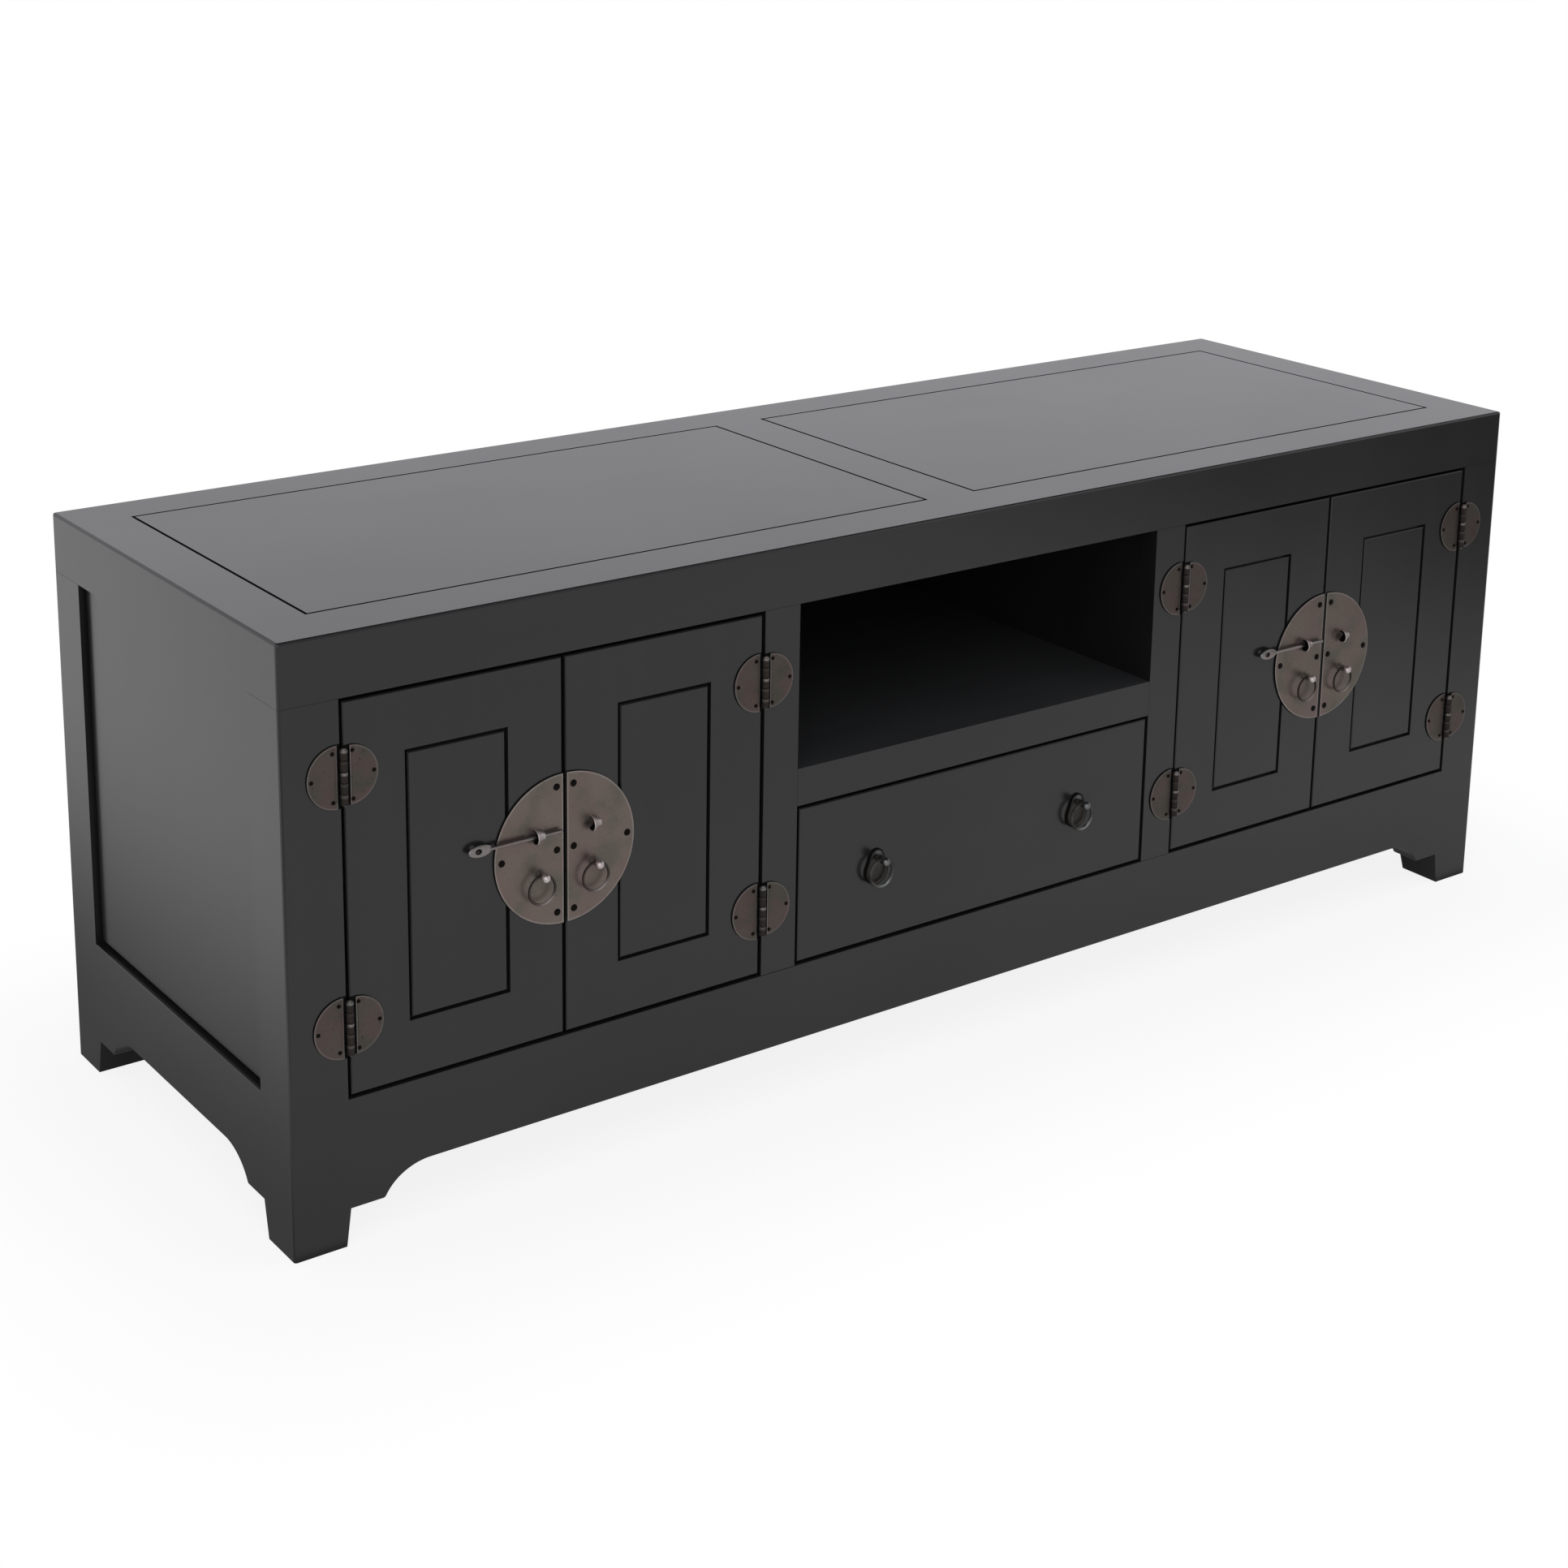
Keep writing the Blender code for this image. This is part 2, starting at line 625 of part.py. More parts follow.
def build_carcass(lacquer, inside):
    """Everything that stands still, apart from the hinge leaves."""
    inner_x = POST_INNER_X - JOINT_GAP
    front_end = FRONT_Y + POST_DEPTH + JOINT_GAP
    back_end = BACK_Y - POST_DEPTH - JOINT_GAP
    frame = top_frame()
    rails = {
        "front": apron("front_apron", "Y", -inner_x, inner_x, FRONT_Y, FRONT_Y + APRON_THICKNESS),
        "back": apron("back_rail", "Y", -inner_x, inner_x, BACK_Y - APRON_THICKNESS, BACK_Y, shaped=False),
    }
    sides = {-1: "left", 1: "right"}
    for side, word in sides.items():
        xs = sorted((side * HALF_WIDTH, side * (HALF_WIDTH - APRON_THICKNESS)))
        rails[word] = apron(f"side_apron_{word}", "X", front_end, back_end, *xs)
        for end, place in ((-1, "front"), (1, "back")):
            post = corner_post(f"post_{place}_{word}", side, end)
            outer_y = FRONT_Y if end < 0 else BACK_Y
            ys = sorted((outer_y, outer_y - end * APRON_THICKNESS))
            for low, high in apron_tenons("Y", -inner_x, inner_x, *ys):
                pocket(post, low, high)
            for low, high in apron_tenons("X", front_end, back_end, *xs):
                pocket(post, low, high)
            pocket(post, *side_panel_box(side))
            if end > 0:
                pocket(post, *back_panel_box())
            dress(post, lacquer)
        pocket(rails[word], *side_panel_box(side))
        pocket(frame, *side_panel_box(side))
        dress(block(f"side_panel_{word}", *side_panel_box(side)), lacquer)
        stile = front_stile(f"front_stile_{word}", side)
        for (low, high), host in zip(stile_tenons(side), (rails["front"], frame)):
            pocket(host, low, high)
        dress(stile, lacquer)
        dress(partition(f"partition_{word}", side), inside)
        dress(top_panel(f"top_panel_{word}", side), lacquer)
    pocket(rails["back"], *back_panel_box())
    pocket(frame, *back_panel_box())
    for rail in rails.values():
        pocket(rail, *bottom_board_box())
        dress(rail, lacquer)
    dress(frame, lacquer)
    dress(block("back_panel", *back_panel_box()), inside)
    dress(bottom_board(), inside)
    dress(niche_shelf(), lacquer)


# Doors

def door_edges(door):
    """The left and right edges of a closed door."""
    _, hinge_side, hinge_x = DOORS[door]
    hinge_edge = hinge_x - hinge_side * REVEAL / 2
    return sorted((hinge_edge, hinge_edge - hinge_side * DOOR_WIDTH))


def door_window(door):
    """The corners of the opening of a door's frame."""
    left, right = door_edges(door)
    widths = (HINGE_STILE_WIDTH, MEETING_STILE_WIDTH)
    at_left, at_right = widths if DOORS[door][1] < 0 else reversed(widths)
    low = Vector((left + at_left, FRONT_Y, DOOR_BOTTOM + DOOR_RAIL_WIDTH))
    high = Vector((right - at_right, FACE_BACK_Y, DOOR_TOP - DOOR_RAIL_WIDTH))
    return low, high


def on_front_face(middle, direction):
    """True for the edges round a flat front."""
    return middle.y < FRONT_Y + DOOR_EDGE_ROUNDING


def door_frame(door):
    """Two stiles and two rails glued up, with a groove for the panel's tongue."""
    left, right = door_edges(door)
    frame = block(f"door_frame_{door}", (left, FRONT_Y, DOOR_BOTTOM), (right, FACE_BACK_Y, DOOR_TOP))
    soften(frame, DOOR_EDGE_ROUNDING, on_front_face, 1)
    low, high = door_window(door)
    pocket(frame, (low.x, low.y - CUT_OVERSHOOT, low.z), (high.x, high.y + CUT_OVERSHOOT, high.z), 0.0)
    return pocket(frame, *tongue_box(low, high, "Y", FRONT_Y + GROOVE_DEPTH))


def door_panel(door):
    """A panel flush with its frame, with a narrow groove round its field."""
    low, high = door_window(door)
    field = block(
        f"door_panel_{door}", (low.x + GROOVE_WIDTH, FRONT_Y, low.z + GROOVE_WIDTH),
        (high.x - GROOVE_WIDTH, FRONT_Y + DOOR_PANEL_THICKNESS, high.z - GROOVE_WIDTH),
    )
    soften(field, DOOR_EDGE_ROUNDING, on_front_face, 1)
    return join(field, block("tongue", *tongue_box(low, high, "Y", FRONT_Y + GROOVE_DEPTH)))


# Hinges

def half_disc(radius, start, steps=HALF_DISC_STEPS):
    """A half disc whose straight edge stands at start and whose round edge bulges towards +X."""
    return arc((start, 0.0), radius, -90, 90, steps)


def knuckle_spans():
    """The lower and upper end of each knuckle, with a running gap between neighbours."""
    pitch = KNUCKLE_LENGTH / KNUCKLE_COUNT
    spans = []
    for place in range(KNUCKLE_COUNT):
        low = -KNUCKLE_LENGTH / 2 + place * pitch
        spans.append((low + RUNNING_GAP / 2, low + pitch - RUNNING_GAP / 2))
    return spans


def hinge_leaf(name, places, with_pin):
    """A half-moon leaf and its knuckles, reaching towards +X from an axis at the object's origin.

    One leaf's knuckles hold the pin; the other's are bored to turn on it.
    """
    back = FRONT_Y - JOINT_GAP - HINGE_AXIS_Y
    face = back - HINGE_LEAF_THICKNESS
    leaf = extruded(name, half_disc(HINGE_LEAF_RADIUS, HINGE_LEAF_START), "Y", face, back)
    spans = knuckle_spans()
    for place in places:
        low, high = spans[place]
        join(leaf, block("strap", (0.0, face, low), (HINGE_LEAF_START + HINGE_LEAF_THICKNESS, back, high)))
        radius = KNUCKLE_DIAMETER / 2
        join(leaf, turned("knuckle", ((low, 0.0), (low, radius), (high, radius), (high, 0.0)), "Z"))
    ends = (spans[0][0], spans[-1][1])
    if with_pin:
        radius = HINGE_PIN_DIAMETER / 2
        inset = RUNNING_GAP
        low = ends[0] + inset
        high = ends[1] - inset
        return join(leaf, turned("pin", ((low, 0.0), (low, radius), (high, radius), (high, 0.0)), "Z"))
    radius = HINGE_PIN_DIAMETER / 2 + SEAT_GAP
    low = ends[0] - CUT_OVERSHOOT
    high = ends[1] + CUT_OVERSHOOT
    return cut(leaf, turned("bore", ((low, 0.0), (low, radius), (high, radius), (high, 0.0)), "Z"))


def place_hinges(door, carrier, masters, coat):
    """The two hinges of a door: one leaf of each stays on the carcass and the other goes with the door."""
    _, hinge_side, hinge_x = DOORS[door]
    for height_name, height in HINGE_HEIGHTS.items():
        for kind, master in masters.items():
            leaf = bpy.data.objects.new(f"hinge_{kind}_{door}_{height_name}", master)
            bpy.context.collection.objects.link(leaf)
            leaf.location = (hinge_x, HINGE_AXIS_Y, height)
            towards = hinge_side if kind == "carcass" else -hinge_side
            if towards < 0:
                leaf.rotation_euler = (0.0, math.pi, 0.0)
            dress(leaf, coat, smooth=True)
            if kind == "door":
                carry(leaf, carrier)


# Lock plates, lock pins and ring pulls

def ball_post(name, neck_diameter, ball_diameter, eye_reach, wire, root):
    """A post along -Y from the origin, with an eye bored across its neck and a ball on its end."""
    neck = neck_diameter / 2
    ball = ball_diameter / 2
    ball_centre = eye_reach + neck + ball
    profile = [(root, 0.0), (root, neck)]
    meets = math.degrees(math.asin(min(1.0, neck / ball)))
    for along, radius in arc((ball_centre, 0.0), ball, 180 - meets, 0):
        profile.append((-along, radius))
    profile[-1] = (-ball_centre - ball, 0.0)
    post = turned(name, profile, "Y")
    eye = wire / 2 + EYE_GAP
    half_bore = neck + CUT_OVERSHOOT
    bore = turned("eye", ((-half_bore, 0.0), (-half_bore, eye), (half_bore, eye), (half_bore, 0.0)), "X")
    bore.location = (0.0, -eye_reach, 0.0)
    return cut(post, bore)


def ear(name, embed):
    """A hollow hood with its mouth towards -X and a tail that the lock pin comes out of."""
    half = EAR_LENGTH / 2
    mouth = EAR_MOUTH_DIAMETER / 2
    hole = LOCK_PIN_DIAMETER / 2 + SEAT_GAP
    profile = (
        (-half, mouth - EAR_WALL), (-half, mouth), (half, EAR_TAIL_DIAMETER / 2), (half, hole),
        (half - EAR_WALL, hole),
    )
    hood = turned(name, profile, "X", (0.0, LOCK_PIN_Y, LOCK_PIN_Z), EAR_STEPS)
    reach = EAR_MOUTH_DIAMETER
    keep_back = PLATE_FRONT_Y + embed
    behind = block(
        "behind", (-reach, keep_back, LOCK_PIN_Z - reach),
        (reach, keep_back + reach, LOCK_PIN_Z + reach),
    )
    return cut(hood, behind)


def lock_plate(door):
    """Half of a round plate, with an ear for the lock pin and a post for the ring."""
    half, hinge_side, _ = DOORS[door]
    meeting_x = half * MEETING_X
    outline = half_disc(PLATE_DIAMETER / 2, REVEAL / 2, 2 * HALF_DISC_STEPS)
    outline = [(meeting_x + hinge_side * across, DOOR_MIDDLE + up) for across, up in outline]
    plate = extruded(f"lock_plate_{door}", outline, "Y", PLATE_FRONT_Y, PLATE_FRONT_Y + PLATE_THICKNESS)
    hood = ear("hood", PLATE_THICKNESS / 2)
    hood.location.x = meeting_x + hinge_side * EAR_FROM_MEETING_LINE
    join(plate, hood)
    post = ball_post(
        "post", DOOR_POST_NECK_DIAMETER, DOOR_POST_BALL_DIAMETER, DOOR_POST_EYE_REACH,
        DOOR_RING_WIRE, PLATE_THICKNESS / 2,
    )
    post.location = door_post_root(door)
    return join(plate, post)


def door_post_root(door):
    """Where a door's ring post leaves its plate."""
    half, hinge_side, _ = DOORS[door]
    across = half * MEETING_X + hinge_side * DOOR_POST_FROM_MEETING_LINE
    return Vector((across, PLATE_FRONT_Y, DOOR_MIDDLE - DOOR_POST_BELOW_CENTRE))


def ring(name, diameter, wire):
    """A ring hanging from its swing axis, which runs along X through the middle of its top wire."""
    middle = (diameter - wire) / 2
    profile = []
    for step in range(WIRE_STEPS):
        angle = 2 * math.pi * step / WIRE_STEPS
        profile.append((wire / 2 * math.sin(angle), middle + wire / 2 * math.cos(angle)))
    hoop = turned(name, profile, "Y", steps=RING_STEPS)
    hoop.data.transform(Matrix.Translation((0.0, 0.0, -middle)))
    return hoop


def lock_pin(name, half):
    """A round shank with a pointed tip and a flat paddle with an eye, along +X."""
    tip = half * MEETING_X - REVEAL / 2 - LOCK_PIN_SETBACK
    tail = tip - LOCK_PIN_LENGTH
    radius = LOCK_PIN_DIAMETER / 2
    shank_start = PADDLE_LENGTH - PADDLE_LAP
    profile = (
        (shank_start, 0.0), (shank_start, radius), (LOCK_PIN_LENGTH - radius, radius),
        (LOCK_PIN_LENGTH, radius / 2), (LOCK_PIN_LENGTH, 0.0),
    )
    pin = turned(name, profile, "X")
    half_length = PADDLE_LENGTH / 2
    oval = arc((half_length, 0.0), half_length, 0, 360, 2 * HALF_DISC_STEPS, PADDLE_HEIGHT / 2)[:-1]
    paddle = extruded("paddle", oval, "Y", -PADDLE_THICKNESS / 2, PADDLE_THICKNESS / 2)
    eye = PADDLE_EYE_DIAMETER / 2
    bore = turned("eye", ((-eye, 0.0), (-eye, eye), (eye, eye), (eye, 0.0)), "Y")
    bore.location.x = PADDLE_EYE_FROM_END
    cut(paddle, bore)
    join(pin, paddle)
    pin.location = (tail, LOCK_PIN_Y, LOCK_PIN_Z)
    return pin


def build_doors(lacquer, brass, bronze, steel):
    """Four doors with their hinges, half plates, rings and lock pins."""
    middle_places = range(1, KNUCKLE_COUNT, 2)
    end_places = range(0, KNUCKLE_COUNT, 2)
    samples = {
        "carcass": hinge_leaf("carcass_leaf", end_places, with_pin=True),
        "door": hinge_leaf("door_leaf", middle_places, with_pin=False),
    }
    masters = {}
    for kind, sample in samples.items():
        masters[kind] = sample.data
        bpy.data.objects.remove(sample, do_unlink=True)
    for door, (half, hinge_side, hinge_x) in DOORS.items():
        axis = axis_empty(f"door_axis_{door}", (hinge_x, HINGE_AXIS_Y, DOOR_MIDDLE))
        carry(dress(door_frame(door), lacquer), axis)
        carry(dress(door_panel(door), lacquer), axis)
        carry(dress(lock_plate(door), brass, smooth=True), axis)
        place_hinges(door, axis, masters, bronze)
        swing = dress(ring(f"door_ring_{door}", DOOR_RING_DIAMETER, DOOR_RING_WIRE), brass, smooth=True)
        swing.location = door_post_root(door) - Vector((0.0, DOOR_POST_EYE_REACH, 0.0))
        carry(swing, axis)
        if hinge_side < 0:
            word = "left" if half < 0 else "right"
            carry(dress(lock_pin(f"lock_pin_{word}", half), steel, smooth=True), axis)


# Drawer

def drawer_front():
    """The drawer's front board."""
    board = block(
        "drawer_front", (-BAY_EDGE_X + REVEAL, FRONT_Y, OPENING_BOTTOM + REVEAL),
        (BAY_EDGE_X - REVEAL, FACE_BACK_Y, DRAWER_OPENING_TOP - REVEAL),
    )
    return soften(board, DOOR_EDGE_ROUNDING, on_front_face, 1)


def drawer_box():
    """Two sides, a back and a bottom, which run on the bottom board between the partitions."""
    reach = BAY_EDGE_X - DRAWER_SIDE_CLEARANCE
    inner = reach - DRAWER_SIDE_THICKNESS
    near = FACE_BACK_Y + JOINT_GAP
    far = near + DRAWER_DEPTH
    low = BOARD_TOP + SEAT_GAP
    high = low + DRAWER_SIDE_HEIGHT
    box = block("drawer_box", (-reach, near, low), (reach, far, high))
    floor = low + DRAWER_BOTTOM_LIFT + DRAWER_BOTTOM_THICKNESS
    inner_far = far - DRAWER_SIDE_THICKNESS
    pocket(box, (-inner, near - CUT_OVERSHOOT, floor), (inner, inner_far, high + CUT_OVERSHOOT), 0.0)
    return pocket(
        box, (-inner, near - CUT_OVERSHOOT, low - CUT_OVERSHOOT),
        (inner, inner_far, low + DRAWER_BOTTOM_LIFT), 0.0,
    )


def gourd_outline():
    """Two round lobes, the smaller above, joined by the straight lines that touch both."""
    lower = PULL_BASE_LOWER_DIAMETER / 2
    upper = PULL_BASE_UPPER_DIAMETER / 2
    lean = math.degrees(math.asin((lower - upper) / PULL_BASE_LOBE_SPACING))
    points = arc((0.0, 0.0), upper, lean, 180 - lean, HALF_DISC_STEPS // 2)
    points += arc((0.0, -PULL_BASE_LOBE_SPACING), lower, 180 - lean, 360 + lean, HALF_DISC_STEPS)
    return points


def build_drawer(lacquer, inside, iron):
    """The drawer with its two ring pulls."""
    axis = axis_empty("drawer_axis", (0.0, FRONT_Y, DRAWER_MIDDLE))
    carry(dress(drawer_front(), lacquer), axis)
    carry(dress(drawer_box(), inside), axis)
    base_back = FRONT_Y - JOINT_GAP
    base_front = base_back - PULL_BASE_THICKNESS
    post_height = DRAWER_MIDDLE + PULL_BASE_LOBE_SPACING / 2
    for side, word in ((-1, "left"), (1, "right")):
        across = side * PULL_SPACING / 2
        base = extruded(
            f"pull_base_{word}", gourd_outline(), "Y", -PULL_BASE_THICKNESS, 0.0,
            (across, base_back, post_height),
        )
        post = ball_post(
            "post", PULL_POST_NECK_DIAMETER, PULL_POST_BALL_DIAMETER, PULL_POST_EYE_REACH,
            PULL_RING_WIRE, PULL_BASE_THICKNESS / 2,
        )
        post.location = (across, base_front, post_height)
        carry(dress(join(base, post), iron, smooth=True), axis)
        hoop = dress(ring(f"pull_ring_{word}", PULL_RING_DIAMETER, PULL_RING_WIRE), iron, smooth=True)
        hoop.location = (across, base_front - PULL_POST_EYE_REACH, post_height)
        carry(hoop, axis)


def build_cabinet():
    """The whole cabinet, closed, with both lock pins drawn back."""
    clear_scene()
    lacquer = finish("black_lacquer", (0.020, 0.020, 0.019), 0.42, 0.0)
    inside = finish("inside_boards", (0.014, 0.013, 0.012), 0.65, 0.0)
    brass = finish("antique_brass", (0.150, 0.125, 0.110), 0.45, 0.9)
    bronze = finish("dark_bronze", (0.085, 0.070, 0.065), 0.48, 0.9)
    iron = finish("dark_iron", (0.030, 0.030, 0.032), 0.35, 0.9)
    steel = finish("worn_steel", (0.260, 0.240, 0.225), 0.38, 0.9)
    build_carcass(lacquer, inside)
    build_doors(lacquer, brass, bronze, steel)
    build_drawer(lacquer, inside, iron)


build_cabinet()
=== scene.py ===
"""Looks of a low tv cabinet in black lacquer with split round lock plates, laid out as a Blender add-on.

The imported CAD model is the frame: most boards keep their shapes and get lacquer. The metalwork, the shaped
aprons and the side panels are replaced by surfaces worked out with numpy in the same places. Lengths are in
metres.
"""

import json
import math

import bpy
import numpy as np
from bpy.props import FloatProperty, FloatVectorProperty, PointerProperty
from mathutils import Matrix, Vector


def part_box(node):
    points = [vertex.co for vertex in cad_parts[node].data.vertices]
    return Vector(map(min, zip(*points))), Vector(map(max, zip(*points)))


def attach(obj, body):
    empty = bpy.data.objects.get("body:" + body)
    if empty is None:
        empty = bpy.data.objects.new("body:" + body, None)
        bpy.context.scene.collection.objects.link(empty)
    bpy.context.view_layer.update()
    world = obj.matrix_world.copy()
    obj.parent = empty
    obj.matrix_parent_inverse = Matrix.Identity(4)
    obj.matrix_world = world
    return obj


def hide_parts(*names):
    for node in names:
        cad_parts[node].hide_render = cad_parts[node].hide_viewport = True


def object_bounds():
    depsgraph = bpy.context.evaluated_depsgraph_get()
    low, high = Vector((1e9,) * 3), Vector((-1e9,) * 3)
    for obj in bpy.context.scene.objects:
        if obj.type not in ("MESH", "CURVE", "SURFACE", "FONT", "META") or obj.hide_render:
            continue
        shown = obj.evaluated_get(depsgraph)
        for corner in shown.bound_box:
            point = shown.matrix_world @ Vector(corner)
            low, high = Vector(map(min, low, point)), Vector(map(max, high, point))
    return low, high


bl_info = {
    "name": "Lacquer Tv Cabinet",
    "version": (1, 0, 0),
    "blender": (4, 5, 0),
    "location": "View3D > Sidebar > Cabinet",
    "description": "Lacquer, metalwork and studio of a low tv cabinet with split round lock plates",
    "category": "Object",
}

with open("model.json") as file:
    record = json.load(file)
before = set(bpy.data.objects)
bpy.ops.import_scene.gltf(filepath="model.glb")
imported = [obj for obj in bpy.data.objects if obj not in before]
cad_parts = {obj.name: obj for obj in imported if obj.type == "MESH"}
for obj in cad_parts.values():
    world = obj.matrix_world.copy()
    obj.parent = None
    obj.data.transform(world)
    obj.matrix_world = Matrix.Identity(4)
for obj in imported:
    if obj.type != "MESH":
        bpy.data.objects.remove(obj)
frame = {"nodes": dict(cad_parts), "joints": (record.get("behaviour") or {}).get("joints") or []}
CAD_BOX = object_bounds()
JOINTS = {joint["name"]: joint for joint in frame["joints"]}
DOORS = ("left_outer", "left_inner", "right_inner", "right_outer")
HEIGHTS = ("upper", "lower")
SIDES = {"left": -1, "right": 1}
RIGHT, BACK, UP = np.eye(3)
MIRROR = np.array((-1.0, 1.0))
WHITE = (1.0, 1.0, 1.0, 1.0)


# Settings

def metres(name, description, default):
    """A length."""
    return FloatProperty(name=name, description=description, default=default, unit="LENGTH", precision=4)


def fraction(name, description, default):
    """A share or a level, 1 for the whole."""
    return FloatProperty(name=name, description=description, default=default, subtype="FACTOR")


def watts(name, description, default):
    """A lamp's power."""
    return FloatProperty(name=name, description=description, default=default, unit="POWER")


def shade(name, description, default):
    """A colour."""
    return FloatVectorProperty(
        name=name, description=description, default=default, subtype="COLOR", size=3, min=0.0, max=1.0,
    )


class LacquerSettings(bpy.types.PropertyGroup):
    """Colours of the boards and sizes of the aprons and side panels."""

    deep: shade("Deep lacquer", "Darker tone of the outside lacquer", (0.0085, 0.0085, 0.0087))
    pale: shade("Rubbed lacquer", "Paler tone where the lacquer is rubbed thin", (0.0125, 0.0125, 0.0127))
    dust: shade("Dust", "Tone of the few specks of dust in the lacquer", (0.040, 0.040, 0.041))
    inside_deep: shade("Deep inside stain", "Darker tone of the inside boards", (0.0230, 0.0240, 0.0255))
    inside_pale: shade("Pale inside stain", "Paler tone of the inside boards", (0.0345, 0.0355, 0.0375))
    edge_rounding: metres("Apron edge rounding", "Radius of the aprons' softened edges", 0.0008)
    field_rise: metres("Field rise", "Height of a side panel's raised field over the panel", 0.0070)
    field_gap: metres("Field gap", "Width of the groove round a side panel's raised field", 0.0042)
    ledge_length: metres("Ledge length", "Length of the flat step beside each foot", 0.030)
    ledge_height: metres("Ledge height", "Height of the step's underside over the floor", 0.030)
    nose_rounding: metres("Nose rounding", "Radius of the step's nose", 0.0030)
    cove_length: metres("Cove length", "Length of the hollow curve behind the nose", 0.038)
    cove_slope: FloatProperty(
        name="Cove slope", description="Slope at which the hollow curve leaves the nose",
        default=math.radians(60.0), subtype="ANGLE",
    )
    arch_height: metres("Arch height", "Height of the apron's straight underside over the floor", 0.0518)


class MetalSettings(bpy.types.PropertyGroup):
    """Colours of the metals."""

    plate: shade("Plate brass", "Main tone of the lock plates and door rings", (0.192, 0.159, 0.140))
    plate_warm: shade("Plate blush", "Reddish bloom of the lock plates", (0.194, 0.150, 0.137))
    plate_cool: shade("Plate verdigris", "Greenish bloom of the lock plates", (0.158, 0.143, 0.121))
    hinge: shade("Hinge bronze", "Main tone of the hinges", (0.104, 0.086, 0.076))
    hinge_warm: shade("Hinge blush", "Reddish bloom of the hinges", (0.109, 0.082, 0.076))
    hinge_cool: shade("Hinge verdigris", "Greenish bloom of the hinges", (0.089, 0.083, 0.069))
    iron: shade("Pull iron", "Main tone of the drawer pulls' bases", (0.054, 0.050, 0.047))
    iron_warm: shade("Pull rust", "Brownish bloom of the drawer pulls", (0.058, 0.052, 0.047))
    ring_iron: shade("Ring iron", "Main tone of the drawer pulls' rubbed rings", (0.098, 0.090, 0.084))
    steel: shade("Pin steel", "Main tone of the lock pins", (0.250, 0.232, 0.222))
    steel_warm: shade("Pin blush", "Pinkish bloom of the lock pins", (0.270, 0.222, 0.214))
    nail: shade("Nail black", "Main tone of the nail heads", (0.010, 0.009, 0.008))
    # This dark tone colours real pits and dirt, and also the painted shade on walls, rims and hollows
    soot_and_shade: shade("Soot And Shade", "Tone of the grime on rims and in hollows", (0.003, 0.003, 0.003))


class FittingSettings(bpy.types.PropertyGroup):
    """Sizes of the metalwork that the frame doesn't give by itself."""

    plate_thickness: metres("Plate thickness", "Thickness of the lock plates", 0.0015)
    plate_rim: metres("Plate rim", "Radius of the lock plates' softened rim", 0.0006)
    ear_spacing: metres("Ear place", "Distance of an ear's middle from the meeting line", 0.025)
    ear_length: metres("Ear length", "Length of an ear along the lock pin", 0.0080)
    ear_mouth: metres("Ear mouth", "Outer diameter of an ear at its mouth", 0.0130)
    ear_tail: metres("Ear tail", "Outer diameter of an ear at its tail", 0.0064)
    ear_wall: metres("Ear wall", "Thickness of an ear's sheet", 0.0011)
    pin_diameter: metres("Pin diameter", "Diameter of a lock pin's shank", 0.0032)
    paddle_length: metres("Paddle length", "Length of a lock pin's flat paddle", 0.020)
    paddle_thickness: metres("Paddle thickness", "Thickness of a lock pin's flat paddle", 0.0018)
    paddle_eye: metres("Paddle eye", "Diameter of the eye in a lock pin's paddle", 0.0040)
    paddle_eye_place: metres("Paddle eye place", "Distance of the eye from the paddle's end", 0.0080)
    door_wire: metres("Door ring wire", "Wire diameter of the door rings", 0.0020)
    pull_wire: metres("Drawer ring wire", "Wire diameter of the drawer rings", 0.0030)
    ball_diameter: metres("Ball diameter", "Diameter of the balls on the ring posts", 0.0064)
    # The globe carries a painted highlight all over
    globe_diameter: metres("Globe diameter", "Diameter of the bright globe round a post's ball", 0.0072)
    eye_gap: metres("Eye gap", "Play of a ring in its post's eye", 0.0006)
    leaf_thickness: metres("Hinge leaf thickness", "Thickness of the hinge leaves", 0.0012)
    leaf_rim: metres("Hinge leaf rim", "Radius of the hinge leaves' softened rim", 0.0005)
    leaf_reach: metres("Hinge leaf reach", "Distance of a leaf's far edge from the hinge axis", 0.0286)
    # The margins bare a black sheet of painted shade beside the knuckles
    left_shade_margin: metres("Left margin", "Black edge beside the knuckles on a left leaf", 0.0008)
    right_shade_margin: metres("Right margin", "Black edge beside the knuckles on a right leaf", 0.0024)
    leaf_start: metres("Hinge leaf start", "Distance of a leaf's straight edge from the hinge axis", 0.0033)
    knuckle_diameter: metres("Knuckle diameter", "Diameter of the hinge knuckles", 0.0056)
    knuckle_length: metres("Knuckle length", "Length of all the knuckles of a hinge together", 0.043)
    base_thickness: metres("Pull base thickness", "Thickness of the drawer pulls' bases", 0.0022)
    base_lower: metres("Pull base lower lobe", "Diameter of the lower lobe of a pull's base", 0.024)
    base_upper: metres("Pull base upper lobe", "Diameter of the upper lobe of a pull's base", 0.015)
    plate_nail: metres("Plate nail head", "Diameter of the nail heads of the lock plates", 0.0057)
    hinge_nail: metres("Hinge nail head", "Diameter of the nail heads of the hinges", 0.0032)


